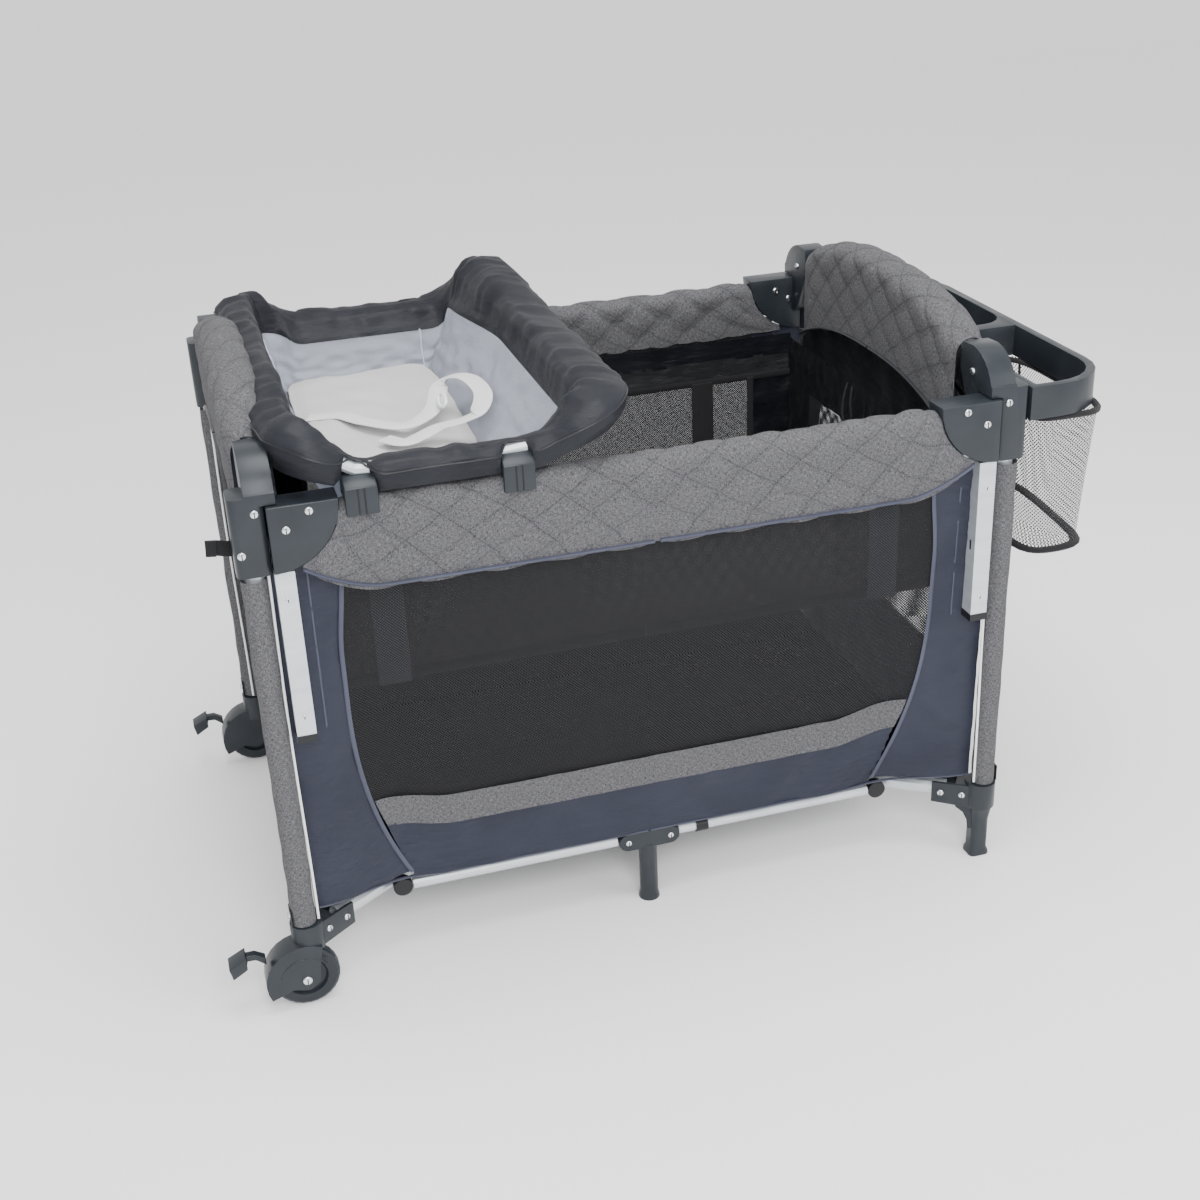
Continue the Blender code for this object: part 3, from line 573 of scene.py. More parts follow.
def corner_rivets():
    """Screws on the hubs, rail brackets, foot brackets and channels."""
    near, plate = POST_Y + 0.021, 0.020  # the hub's face, and how far the bracket's face is from the rail
    cheek, foot_z = 0.017, 0.105
    for side, sx in SIDES:

        def faced(places, y, facing=FRONT):
            return [((sx * x, y, z), facing) for x, z in places]

        bracket = faced(((0.424, 0.712), (0.453, 0.692)), -(RAIL_Y + plate))
        rivets(f"bracket_rivets_{side}", bracket, f"drop_{side}")
        low = [((-0.507, -near, 0.665), FRONT)] if side == "left" else []
        rivets(f"hub_rivets_front_{side}", low + faced(((0.486, 0.715),), -near), f"post_front_{side}")
        channel = faced(((0.461, 0.600), (0.461, 0.440)), -(POST_Y + 0.022))
        rivets(f"channel_bolts_{side}", channel, f"drop_{side}", 0.0030, 0.0014)
        high = faced(((0.424, 0.698), (0.453, 0.680)), RAIL_Y + plate, -FRONT)
        rivets(f"hub_rivets_rear_{side}", high, f"post_rear_{side}")
        inside = faced(((0.430, 0.703), (0.453, 0.688)), RAIL_Y - plate)
        rivets(f"hub_rivets_inside_{side}", inside, f"post_rear_{side}")
        hub_low, hub_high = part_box(f"corner_hub_front_{side}")
        arm_x = hub_high.x if side == "left" else hub_low.x
        for row, sy in ROWS:
            body = f"post_{row}_{side}"
            post = Vector((sx * POST_X, sy * POST_Y, 0))
            diagonal = -post.normalized()
            beside = Vector((diagonal.y, -diagonal.x, 0))
            beside *= 1 if beside.y * sy > 0 else -1
            places = [(post + diagonal * d + beside * cheek + UP * foot_z, beside) for d in (0.024, 0.055)]
            rivets(f"foot_rivets_{row}_{side}", places, body, 0.0050)
            rivets(f"arch_rivets_{row}_{side}", [((arm_x, sy * 0.296, 0.745), (-sx, 0, 0))], body)
    for row, sy in ROWS:
        low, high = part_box(f"centre_foot_{row}")
        y = sy * (abs(low.y + high.y) / 2 + 0.012)
        places = [((x, y, foot_z), (0, sy, 0)) for x in (-0.0315, 0.0315)]
        rivets(f"centre_rivets_{row}", places, f"centre_foot_{row}", 0.0045)


def small_parts():
    """Toggle loop inside the right end, clips under the quilt ends, and a clip on the front base bar."""
    loop = [(0.446, 0.060, 0.622), (0.438, 0.056, 0.600), (0.434, 0.050, 0.574), (0.437, 0.040, 0.560),
            (0.440, 0.032, 0.574), (0.440, 0.036, 0.600), (0.446, 0.042, 0.622)]
    sweep("toggle_loop", smooth_path(loop, 30), circle(0.0016, 6), "strap", "post_rear_right", side=RIGHT)
    toggle = [(0.437, 0.030, 0.563), (0.437, 0.054, 0.559)]
    sweep("toggle", toggle, circle(0.0045, 12), "black_plastic", "post_rear_right", side=RIGHT)
    for side, sx in SIDES:
        y = -(RAIL_Y + 0.0125)
        clip = [(sx * 0.424, y, 0.652), (sx * 0.434, y, 0.648)]
        sweep(f"quilt_clip_{side}", clip, strip(0.005, 0.009), "rivet", f"drop_{side}")
    bar = "base_bar_front_right"
    low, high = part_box(bar)
    middle = (low + high) / 2
    clip = [(x, middle.y, middle.z) for x in (0.072, 0.090)]
    sweep("base_bar_clip", clip, circle((high.z - low.z) / 2 + 0.0022, 16), "black_plastic", bar)


def channel_caps():
    """Dark end cap under each steel channel, and a thin black sliver in its side: painted shade standing for
    the opening of a slot.
    """
    lip = 0.0008
    for side, _ in SIDES:
        low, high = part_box(f"drop_channel_{side}")
        middle = (low + high) / 2
        w, d = (high.x - low.x) / 2 + lip, (high.y - low.y) / 2 + lip
        inner_x = low.x if side == "right" else high.x
        cap = ("cap", middle.x, (low.z - 0.006, low.z + 0.004), [(-d, w), (d, w), (d, -w), (-d, -w)])
        # painted shade: the slot is a thin black sliver on the channel's inner face, for the shade in its
        # opening
        slot = ("slot", inner_x, (0.508, 0.522), circle(0.0022, 8, 0.3))
        for name, x, heights, profile in (cap, slot):
            path = [(x, middle.y, z) for z in heights]
            sweep(f"channel_{name}_{side}", path, profile, "black_plastic", f"drop_{side}", side=RIGHT)


def wheel_faces():
    """An axle screw and a raised rim on each caster's outer face, and ribs across its brake pedal's pad."""
    axle_out, rim_out, rim_r = 0.0185, 0.0172, 0.035
    first_rib, rib_gap = 0.007, 0.0055
    for row, sy in ROWS:
        low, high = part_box(f"caster_wheel_{row}_left")
        middle = (low + high) / 2
        body = f"post_{row}_left"
        axle = (middle + Vector((0, sy * axle_out, 0)), (0, sy, 0))
        rivets(f"wheel_axle_{row}", [axle], body, 0.0065, 0.003)
        turns = [radians(35 + 8 * i) for i in range(17)]
        rim = [middle + Vector((rim_r * cos(t), sy * rim_out, rim_r * sin(t))) for t in turns]
        sweep(f"caster_rim_{row}", rim, circle(0.0016, 8, 0.6), "plastic", body, side=RIGHT)
        low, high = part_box(f"brake_pedal_{row}_left")
        for i in range(4):
            reach = first_rib + i * rib_gap
            rib = [(low.x + reach, y, high.z - 0.020 + 0.5 * reach) for y in (low.y + 0.002, high.y - 0.002)]
            sweep(f"pedal_rib_{row}_{i}", rib, circle(0.0016, 8), "plastic", f"brake_pedal_{row}")


# ---- post sleeves


SLEEVE_R, SLEEVE_OUT = 0.0160, 0.0022  # its radius, and how far its axis stands outside the post's
SLEEVE_LOW, SLEEVE_HIGH = 0.1262, 0.6270


def post_sleeve(side, sx, row, sy):
    """Melange sleeve around a post, white pipings beside it and a snap at its foot."""
    body = f"post_{row}_{side}"
    centre = Vector((sx * (POST_X + SLEEVE_OUT), sy * (POST_Y + SLEEVE_OUT), 0))

    def point(s, t):
        out = Vector((cos(2 * pi * s), sin(2 * pi * s), 0))
        z = lerp(SLEEVE_LOW, SLEEVE_HIGH, t)
        place = centre + out * SLEEVE_R
        return place + out * crumple((place.x, place.y, z * 0.6), 0.022, 0.0016) + UP * z

    cloth(f"post_sleeve_{row}_{side}", point, 32, 70, "melange", body, closed=True, thickness=CLOTH_THICK)
    beside = ((-SLEEVE_R - 0.0016, 0.004), (0.003, -SLEEVE_R - 0.0016))
    for k, (lengthwise, across) in enumerate(beside):
        x, y = centre.x + sx * lengthwise, centre.y + sy * across
        heights = along(24, lambda t: lerp(0.128, 0.630, t))
        wave = [(x + 0.0012 * sin(11 * z), y, z) for z in heights]
        sweep(f"piping_{row}_{side}_{k}", wave, circle(0.0018), "white", body, side=RIGHT)
    snap = Vector((centre.x + sx * (SLEEVE_R + 0.0004), centre.y, 0.139))
    tab = [(b, a) for a, b in strip(0.020, 0.0024)]
    path = [snap - UP * 0.012, snap + UP * 0.012]
    sweep(f"snap_tab_{row}_{side}", path, tab, "black_plastic", body, side=FRONT)
    rivets(f"snap_{row}_{side}", [(snap + RIGHT * sx * 0.0012, (sx, 0, 0))], body, 0.0044)


def side_tab():
    """Folded webbing tab that sticks out at the left front post."""
    tab = smooth_path([(-0.512, -0.300, 0.656), (-0.522, -0.302, 0.658), (-0.533, -0.305, 0.662),
                       (-0.546, -0.304, 0.663)], 10)
    sweep("side_tab", tab, strip(0.020, 0.0022), "strap", "post_front_left", side=FRONT)
    fold = [(-0.546, -0.3062, 0.663), (-0.534, -0.3075, 0.662)]
    sweep("side_tab_fold", fold, strip(0.020, 0.0030), "strap", "post_front_left", side=FRONT)


# ---- rail quilts


def quilt_profile(half, radius, drop_out, drop_in, t):
    """A place on the sleeve's section, from its outer lower edge over the rail to its inner lower edge, with
    its length along the section. It is (a, b): a is outwards from the rail and b is upwards from its axis."""
    points = [Vector((half, -drop_out)), Vector((half + 0.0010, -drop_out * 0.5)), Vector((half, -0.002))]
    for i in range(7):
        turn = radians(15 + 25 * i)
        points.append(Vector((half * 0.99 * cos(turn), radius * sin(turn) + 0.001)))
    points += [Vector((-half, -0.002)), Vector((-half - 0.0005, -drop_in * 0.5)), Vector((-half, -drop_in))]
    lengths = running_lengths(points)
    want = t * lengths[-1]
    return place_along(points, lengths, want), want


BRACKET_LOW, BRACKET_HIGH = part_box("drop_bracket_right")


def beside_bracket(z):
    """Half length of the sleeve at a height, a little short of the quarter-disc bracket's round edge."""
    radius = BRACKET_HIGH.z - BRACKET_LOW.z
    reach = sqrt(max(radius**2 - (BRACKET_HIGH.z - z) ** 2, 0))
    return min(BRACKET_HIGH.x - reach - 0.0012, BRACKET_HIGH.x - 0.034)


def front_edge_drop(x):
    """How far the long sleeves hang below the rail's axis: less near the hubs."""
    return lerp(0.094, 0.050, ease((abs(x) - 0.33) / 0.075))


def long_quilt(side, sx, row, sy):
    """Quilted sleeve over a half of a long top rail, and its hem."""
    half, radius = 0.0165, 0.0175
    body = f"top_rail_{row}_{side}"
    squash = ("fold", (0, 0, 1), (0, sy * RAIL_Y, RAIL_Z), FOLDED)

    def end_shift(s, z):
        return (beside_bracket(z) - COVER_X) * ease((s - 0.80) / 0.20)

    def point(s, t):
        x = lerp(-0.0006, COVER_X, s)
        (a, b), far = quilt_profile(half, radius, front_edge_drop(x), 0.060, t)
        puff = pillow(x, far, 0.0052) + crumple((x, a, b), 0.03, 0.0016)
        out = Vector((a, b)).normalized()
        puff *= min(1.0, (1 - s) / 0.04)
        x += end_shift(s, RAIL_Z + b)
        return Vector((sx * x, sy * (RAIL_Y + a + out.x * puff), RAIL_Z + b + out.y * puff))

    def hem(s):
        x = lerp(0.004, COVER_X, s)
        z = RAIL_Z - front_edge_drop(x) + 0.001
        return sx * (x + end_shift(s, z)), sy * (RAIL_Y + half + 0.001), z

    made = cloth(f"rail_quilt_{row}_{side}", point, 96, 58, "quilt", body, squash, thickness=QUILT_THICK)
    if side == "left":
        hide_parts(f"rail_cover_{row}")
    sweep(f"rail_hem_{row}_{side}", along(40, hem), circle(0.0048, 8, 0.45), "slate", body, squash=squash)


def arch_height(y):
    """Top of the end sleeves: highest in the middle and lowest at the hubs."""
    return lerp(ARCH_TOP - 0.052, ARCH_TOP, 1 - (abs(y) / 0.262) ** 2.6)


def end_quilt(side, sx, row, sy):
    """Deep quilted sleeve over a half of an arched end rail, and its hems."""
    half, radius, drop_out, drop_in = 0.027, 0.020, 0.108, 0.112
    body = f"end_rail_{side}_{row}"
    squash = ("fold", (0, 0, 1), (sx * ARCH_X, 0, 0.79), FOLDED)

    def point(s, t):
        y = sy * lerp(-0.0006, ARCH_END, s)
        (a, b), far = quilt_profile(half, radius, drop_out, drop_in, t)
        puff = pillow(abs(y), far, 0.0034) + crumple((a, y, b), 0.04, 0.0016)
        out = Vector((a, b)).normalized()
        puff *= min(1.0, (1 - s) / 0.05)
        x = (a + out.x * puff) * lerp(1.0, 0.80, ease((s - 0.86) / 0.14))
        return Vector((sx * (ARCH_X + x), y, arch_height(y) - radius + b + out.y * puff))

    made = cloth(f"end_quilt_{side}_{row}", point, 64, 76, "quilt", body, squash, thickness=QUILT_THICK)
    if row == "front":
        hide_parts(f"rail_cover_{side}")
    for face, offset, drop in (("inner", -half, drop_in), ("outer", half, drop_out)):
        line = along(30, lambda s: sy * lerp(0.002, ARCH_END, s))
        hem = [(sx * (ARCH_X + offset), y, arch_height(y) - radius - drop + 0.001) for y in line]
        sweep(f"end_hem_{face}_{side}_{row}", hem, circle(0.0045, 8, 0.45), "band", body, squash=squash)


# ---- walls and floor


def side_seam(z):
    """Half width of the mesh window and the panel under it: the seams curve in towards the hem."""
    share = min(max((z - 0.13) / 0.30, 0), 1)
    return 0.340 + 0.064 * (1 - (1 - share) ** 2.2) - 0.010 * ease((z - 0.50) / 0.12)


HEM_Z = 0.134
BAND_LOW, BAND_HIGH = 0.202, 0.249
WALL_TOP = 0.640
WALL_END = POST_X - 0.0150


def hem_height(x):
    """The hem hides the base bars in the middle and rises beside the posts."""
    return lerp(0.1195, HEM_Z, ease((abs(x) - 0.28) / 0.16))


def band_lift(x):
    """How far the melange band rises towards the seams."""
    return 0.020 * ease((abs(x) - 0.27) / 0.11)


def long_wall_y(x, z, sy):
    """The long walls lean in towards the hem, most in the middle and least beside the posts."""
    share = (WALL_TOP - z) / (WALL_TOP - HEM_Z)
    middle = 1 - ease((abs(x) - 0.33) / 0.14)
    sag = 0.006 * sin(pi * min(max(share, 0), 1)) * middle
    return sy * (RAIL_Y - 0.0045 - share * lerp(0.012, 0.052, middle) - sag)


def end_wall_x(y, z, sx):
    """The end walls lean in towards the hem as well."""
    share = (WALL_TOP - z) / (WALL_TOP - HEM_Z)
    middle = 1 - ease((abs(y) - 0.20) / 0.10)
    return sx * (0.4735 - share * lerp(0.004, 0.018, middle))


def long_wall(side, sx, row, sy):
    """Half of a long wall, in a lower and an upper part. The front's upper part rides with the drop side."""
    squash = ("fold", (1, 0, 0), (sx * POST_X, 0, 0), FOLDED)
    post = f"post_{row}_{side}"
    upper_body = f"drop_{side}" if row == "front" else post
    parts = (("lower", post, HEM_Z, DROP_SEAM_Z), ("upper", upper_body, DROP_SEAM_Z, WALL_TOP))

    def at(x, z, out=0.0):
        return Vector((x, long_wall_y(x, z, sy) + sy * out, z))

    for part, body, low, high in parts:
        name = f"{row}_{side}_{part}"

        def gusset(s, t):
            z = lerp(max(low, hem_height(side_seam(low))), high, t)
            x = sx * lerp(side_seam(z) - 0.0005, WALL_END, s)
            fold = 0.0016 * sin(pi * s) + crumple((x, 0, z), 0.03, 0.0022)
            pulled = ease((0.25 - z) / 0.07) + 0.7 * ease((z - 0.49) / 0.05)
            wave = sin((z + 0.25 * abs(x)) * 400 + 3 * noise.noise(Vector((x, 0, z)) * 25))
            return at(x, z, fold + 0.0010 * pulled * sin(pi * s) * wave)

        def window(s, t):
            z = lerp(max(low, BAND_HIGH - 0.002), high, t)
            return at(sx * side_seam(z) * s, z)

        def band(s, t):
            z = lerp(BAND_LOW, BAND_HIGH, t)
            x = sx * side_seam(z) * s
            return at(x, z + band_lift(x), 0.0026 + crumple((x, 0, z), 0.03, 0.0016))

        def panel(s, t):
            z = lerp(hem_height(s * side_seam(HEM_Z)), BAND_LOW + 0.002, t)
            x = sx * s * side_seam(z)
            z += band_lift(x) * t
            wave = sin(z * 420 + 3 * noise.noise(Vector((x, 0, z)) * 20))
            gather = 0.0016 * ease((s - 0.55) / 0.4) * wave
            return at(x, z, 0.0006 + gather + crumple((x, 0, z), 0.05, 0.0030))

        def hem(s):
            x = sx * lerp(0.002, WALL_END, s)
            return at(x, hem_height(x))

        def seam(t):
            z = lerp(low, high, t)
            return at(sx * side_seam(z), z, 0.0022)

        cloth(f"gusset_{name}", gusset, 14, 64, "slate", body, squash, thickness=NYLON_THICK)
        cloth(f"mesh_{name}", window, 20, 14, "net" if row == "front" else "rear_net", body, squash)
        sweep(f"seam_{name}", along(24, seam), circle(0.0030, 8, 0.35), "slate", body, False, squash, FRONT)
        if part == "upper":
            line = along(12, lambda t: at(sx * 0.434, lerp(low, high, t), 0.0016))
            sweep(f"gusset_seam_{name}", line, circle(0.0013, 8, 0.4), "slate", body, False, squash, FRONT)
        else:
            cloth(f"band_{name}", band, 44, 10, "melange", body, squash, thickness=CLOTH_THICK)
            cloth(f"panel_{name}", panel, 44, 18, "slate", body, squash, thickness=NYLON_THICK)
            sweep(f"hem_{name}", along(30, hem), circle(0.0028, 8, 0.5), "slate", body, squash=squash)


def end_wall(side, sx, row, sy):
    """Half of an end wall: a nylon frame around a mesh window, under a black band."""
    window_low, window_high, window_y = 0.30, 0.56, 0.215
    wall_y = POST_Y - 0.024
    body = f"post_{row}_{side}"
    squash = ("fold", (0, 1, 0), (0, sy * POST_Y, 0), FOLDED)

    def at(y, z, lift=0.0):
        return Vector((end_wall_x(y, z, sx) + lift * sx, y, z))

    def arch_top(s):
        return arch_height(lerp(0, wall_y, s)) - 0.125

    parts = (
        ("low", 0, wall_y, HEM_Z, window_low, 0.003, "slate", 24, 14),
        ("side", window_y, wall_y, window_low, window_high, 0.002, "slate", 10, 20),
        ("window", 0, window_y, window_low, window_high, 0.0, "net", 14, 14),
        ("high", 0, wall_y, window_high, None, 0.003, "band", 24, 12),
    )
    for part, start, stop, low, high, wave, look, columns, rows in parts:

        def point(s, t):
            y, z = sy * lerp(start, stop, s), lerp(low, arch_top(s) if high is None else high, t)
            return at(y, z, crumple((0, y, z), 0.05, wave))

        cloth(f"end_{part}_{side}_{row}", point, columns, rows, look, body, squash,
              thickness=0.0 if look == "net" else NYLON_THICK)
    for z in (window_low, window_high):
        path = along(12, lambda s: at(sy * lerp(0.002, window_y, s), z, 0.001))
        name = f"end_seam_{side}_{row}_{round(z * 100)}"
        sweep(name, path, circle(0.0045, 8, 0.4), "band", body, squash=squash)


def floor_quarter(side, sx, row, sy):
    """A quarter of the black floor, which turns with its floor arm."""
    diagonal = Vector((sx * POST_X, sy * POST_Y, 0)).normalized()
    across = Vector((-diagonal.y, diagonal.x, 0))

    def point(s, t):
        x, y = sx * FLOOR_X * s, sy * FLOOR_Y * t
        return Vector((x, y, FLOOR_Z + 0.010 + crumple((x, y, 0), 0.08, 0.003)))

    cloth(f"floor_{row}_{side}", point, 24, 18, "floor", f"floor_arm_{row}_{side}",
          ("fold", across, (0, 0, FLOOR_Z), 0.12), thickness=0.003)


# ---- bassinet


def bassinet(side, sx, row, sy):
    """A quarter of the bassinet: a shiny band and a crumpled strip over mesh, nylon corners, straps and bound
    edges."""
    x1, y1 = BASSINET_HIGH.x - 0.004, BASSINET_HIGH.y - 0.004
    low, binding, strip_top, band_top = BASSINET_LOW.z + 0.004, 0.571, 0.606, 0.636
    end_binding, end_top = 0.556, 0.628
    corner_x, corner_y = 0.374, 0.205
    body = f"post_{row}_{side}"
    along_x = ("fold", (1, 0, 0), (sx * POST_X, 0, 0), FOLDED)
    along_y = ("fold", (0, 1, 0), (0, sy * POST_Y, 0), FOLDED)
    out_x, out_y = Vector((sx, 0, 0)), Vector((0, sy, 0))
    parts = (
        ("long", "net", "inner_net", 0.0, corner_x, low, binding, 0.0, 16, 8),
        ("long", "corner", "band", corner_x, x1, low, binding, 0.004, 14, 22),
        ("long", "strip", "crumpled", 0.0, x1, binding, strip_top, 0.0036, 70, 8),
        ("long", "band", "band", 0.0, x1, strip_top - 0.004, band_top, 0.0020, 50, 8),
        ("end", "net", "inner_net", 0.0, corner_y, low, end_binding, 0.0, 12, 8),
        ("end", "corner", "band", corner_y, y1, low, end_binding, 0.004, 12, 20),
        ("end", "strip", "band", 0.0, y1, end_binding, end_top, 0.0045, 50, 14),
    )
    for wall, part, look, start, stop, bottom, top, wave, columns, rows in parts:

        def point(s, t):
            reach, z = lerp(start, stop, s), lerp(bottom, top, t)
            lean = 1 - (z - low) / (band_top - low)
            if wall == "long":
                fold = crumple((reach, 0, z * 0.6), 0.022, wave)
                return Vector((sx * reach, sy * (y1 - 0.006 * lean + fold), z))
            fold = crumple((0, reach, z * 0.6), 0.022, wave)
            return Vector((sx * (x1 - 0.005 * lean + fold), sy * reach, z))

        made = cloth(f"bassinet_{wall}_{part}_{row}_{side}", point, columns, rows, look, body,
                     along_x if wall == "long" else along_y, thickness=0.0 if part == "net" else NYLON_THICK)
        if (wall, part, row, side) == ("long", "net", "front", "left"):
            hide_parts("bassinet_insert", "fabric_enclosure")
    for edge, z, wide in (("low", low, 0.008), ("high", binding, 0.0055)):
        path = along(16, lambda t: (sx * lerp(0.001, x1, t), sy * (y1 - 0.004), z))
        name = f"bassinet_edge_long_{edge}_{row}_{side}"
        sweep(name, path, circle(wide, 8, 0.2), "strap", body, False, along_x, out_y)
    path = along(12, lambda t: (sx * (x1 - 0.004), sy * lerp(0.001, y1, t), low))
    name = f"bassinet_edge_end_{row}_{side}"
    sweep(name, path, circle(0.008, 8, 0.2), "strap", body, False, along_y, out_x)
    for strap, x, wide in (("wide", 0.290, 0.037), ("edge", corner_x, 0.011)):
        path = [(sx * x, sy * (y1 - 0.0075), z) for z in (low, 0.48, 0.52, binding)]
        name = f"bassinet_{strap}_strap_{row}_{side}"
        sweep(name, path, strip(wide, 0.002), "strap", body, False, along_x, out_y)
    if row == "front":
        heights = (0.438, 0.47, 0.52, 0.58, 0.618)
        path = smooth_path([(sx * 0.338, sy * (y1 + 0.006), z) for z in heights], 14)
        sweep(f"bassinet_tie_{side}", path, strip(0.042, 0.0024), "blue_strap", body, False, along_x, FRONT)


def mattress():
    """Three quilted mattress sections on the bassinet's base. All ride on the floor's centre hub."""
    low, high = MATTRESS_LOW, MATTRESS_HIGH
    split, gap = 0.17, 0.0015
    base_end, side_end = 0.25, 0.4  # the t at which the underside ends, and at which the edge ends
    sections = (
        ("left", low.x, -split - gap),
        ("middle", -split + gap, split - gap),
        ("right", split + gap, high.x),
    )
    for name, x0, x1 in sections:

        def point(s, t):
            """Round the section along s, and along t from the middle of its underside to that of its top."""
            a, b = rounded_square(s, 8)
            reach, on_top = 1.0, 0.0
            if t < base_end:
                reach = min(1.0, 4 * t)
            elif t >= side_end:
                reach, on_top = 1 - (t - side_end) / (1 - side_end), 1.0
            spread = max(reach, 0.002)
            x, y = (x0 + x1) / 2 + (x1 - x0) / 2 * a * spread, (high.y - low.y) / 2 * b * spread
            crown = 0.004 * on_top * (1 - max(reach, 0) ** 6)
            puff = on_top * pillow(x, y, 0.0028) * min(1, (1 - reach) * 12)
            height = ease((t - base_end) / (side_end - base_end))
            return Vector((x, y, lerp(low.z, high.z - 0.004, height) + crown + puff))

        made = cushion(f"mattress_{name}", point, 120, 60, "mattress", "floor_centre",
                       ("fold", (1, 0, 0), (0, 0, 0), FOLDED), flat_uv=True)
        if name == "middle":
            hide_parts("mattress")


# ---- changer


TUBE_R = 0.009
RING_X0, RING_X1, RING_Y = RING_LOW.x + TUBE_R, RING_HIGH.x - TUBE_R, 0.335
RING_COUNT, RING_ROWS = 336, 30  # steps round the ring, and across the border
CLIPS = (-0.362, -0.172)
CLIP_HALF = 0.019
PAD_X0, PAD_X1, PAD_Y = TUB_LOW.x + 0.036, TUB_HIGH.x - 0.090, 0.272
PAD_Z = TUB_LOW.z + 0.004


def ring_points():
    """Points round the changer's ring, counter-clockwise from its right-hand front corner."""
    radius = 0.070
    x0, x1, y1 = RING_X0 + radius, RING_X1 - radius, RING_Y - radius
    dense = []
    for cx, cy, start in ((x1, y1, 0), (x0, y1, 90), (x0, -y1, 180), (x1, -y1, 270)):
        for i in range(9):
            turn = radians(start + 90 * i / 8)
            dense.append(Vector((cx + radius * cos(turn), cy + radius * sin(turn), 0)))
    dense.append(dense[0].copy())
    lengths = running_lengths(dense)
    return [place_along(dense, lengths, lengths[-1] * i / RING_COUNT) for i in range(RING_COUNT)]


RING = ring_points()
RING_MIDDLE = (RING_X0 + RING_X1) / 2


def ring_place(s):
    """A place on the ring, the direction inwards from it, and its height: low along the rails and raised at
    both ends, as in the frame."""
    i = round(s * RING_COUNT) % RING_COUNT
    here = RING[i]
    tangent = (RING[(i + 1) % RING_COUNT] - RING[i - 1]).normalized()
    share = ease((abs(here.x - RING_MIDDLE) / ((RING_X1 - RING_X0) / 2) - 0.52) / 0.48)
    return here, UP.cross(tangent), lerp(0.743, 0.785, share)


def ring_ends(here):
    """How far the place is on the left end and on the right end."""
    off = here.x - RING_MIDDLE
    return ease((-off - 0.115) / 0.06), ease((off - 0.115) / 0.06)


def border_shape(here):
    """Outward reach, inward reach, crown height and inner depth of the border at a place on the ring."""
    left, right = ring_ends(here)
    far = ease((here.y - 0.06) / 0.22)
    outer = 0.019 + 0.014 * left + 0.028 * right
    inner = 0.046 - 0.024 * left - (0.018 - 0.034 * far) * right
    crown = 0.014 + 0.008 * left + 0.004 * right + 0.022 * right * far * ease((0.36 - here.y) / 0.06)
    depth = 0.024 + 0.016 * left + 0.006 * right
    return outer, inner, crown, depth


# The border's section: shares of the outward reach and crown, then of the inward reach, crown and depth.
OUTSIDE = [(0.85, -1.55), (1.08, -0.60), (1.05, 0.25), (0.62, 0.80)]
INSIDE = [(0.0, 1.0, 0.0), (0.32, 0.95, 0.0), (0.64, 0.60, 0.12), (0.82, 0.0, 0.45), (0.94, 0.0, 0.75),
          (1.0, 0.0, 1.0)]


def border(s, t, lift=0.0):
    """The padded border's surface. It is flat and open where the hooks clip on."""
    here, inward, z = ring_place(s)
    outer, inner, crown, depth = border_shape(here)
    section = [(-outer * a, crown * b) for a, b in OUTSIDE]
    section += [(inner * a, crown * b - depth * c) for a, b, c in INSIDE]
    place = t * (len(section) - 1)
    k = min(int(place), len(section) - 2)
    a, b = (lerp(section[k][j], section[k + 1][j], place - k) for j in (0, 1))
    arc = sin(pi * t)
    fine = noise.noise(Vector((here.x * 70, here.y * 70, t * 1.6)))
    fine *= (0.0012 + 0.0040 * max(ring_ends(here)) * ease((abs(here.y) - 0.12) / 0.12)) * arc
    deep = crumple(here + Vector((0, 0, t * 0.10)), 0.035, 0.0080, 3.0)
    swell = fine + max(deep, -0.0025) * arc + lift
    if abs(here.y) > 0.30 and t < 0.45:
        open_clip = 1 - ease((min(abs(here.x - x) for x in CLIPS) - 0.013) / 0.007)
        a = lerp(a, max(a, -0.004), open_clip)
        b = lerp(b, max(b, 0.0125), open_clip)
        swell *= 1 - open_clip
    out = Vector((a, b + 0.002)).normalized()
    return here + inward * (a + out.x * swell) + UP * (z + b + out.y * swell)


def lining(s, t):
    """The light lining, from the border's inner edge down to the pad."""
    here, inward, z = ring_place(s)
    _, inner, _, depth = border_shape(here)
    top = here + inward * (inner - 0.001) + UP * (z - depth + 0.001)
    low = Vector((min(max(top.x, PAD_X0), PAD_X1), min(max(top.y, -PAD_Y), PAD_Y), PAD_Z))
    arc = sin(pi * t)
    fold = crumple(here + Vector((0, 0, t * 0.2)), 0.030, 0.0050, 7.0) * arc
    return top.lerp(low, t) - UP * 0.008 * arc + inward * fold


def changer():
    """Padded border around the ring, a light lining with its seams, and the cloth under the pad."""
    mesh, *_ = grid_mesh("changer_border", border, RING_COUNT, RING_ROWS, closed=True, thickness=0.0025)
    piece("changer_border", mesh, "border", "changer")
    edge = [border(i / RING_COUNT, 0.20, 0.0006) for i in range(0, RING_COUNT, 2)]
    sweep("border_binding", edge, circle(0.0012, 6), "band", "changer", closed=True)
    made = cloth("changer_lining", lining, RING_COUNT, 22, "inner", "changer", closed=True,
                 thickness=CLOTH_THICK)
    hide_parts("changer_tub")
    for name, x in (("left", PAD_X0), ("right", PAD_X1)):
        corner = Vector((x, PAD_Y, 0))
        nearest = min(range(RING_COUNT), key=lambda i: (RING[i] - corner).length) / RING_COUNT
        seam = along(10, lambda t: lining(nearest, t) + Vector((0, -0.0016, 0.0010)))
        sweep(f"lining_seam_{name}", seam, circle(0.0012, 6), "inner", "changer")
    tuck = 0.006
    cloth("changer_base_cloth", lambda s, t: Vector((lerp(PAD_X0 - tuck, PAD_X1 + tuck, s),
                                                     lerp(-PAD_Y - tuck, PAD_Y + tuck, t), PAD_Z)),
          12, 20, "inner", "changer", thickness=CLOTH_THICK)


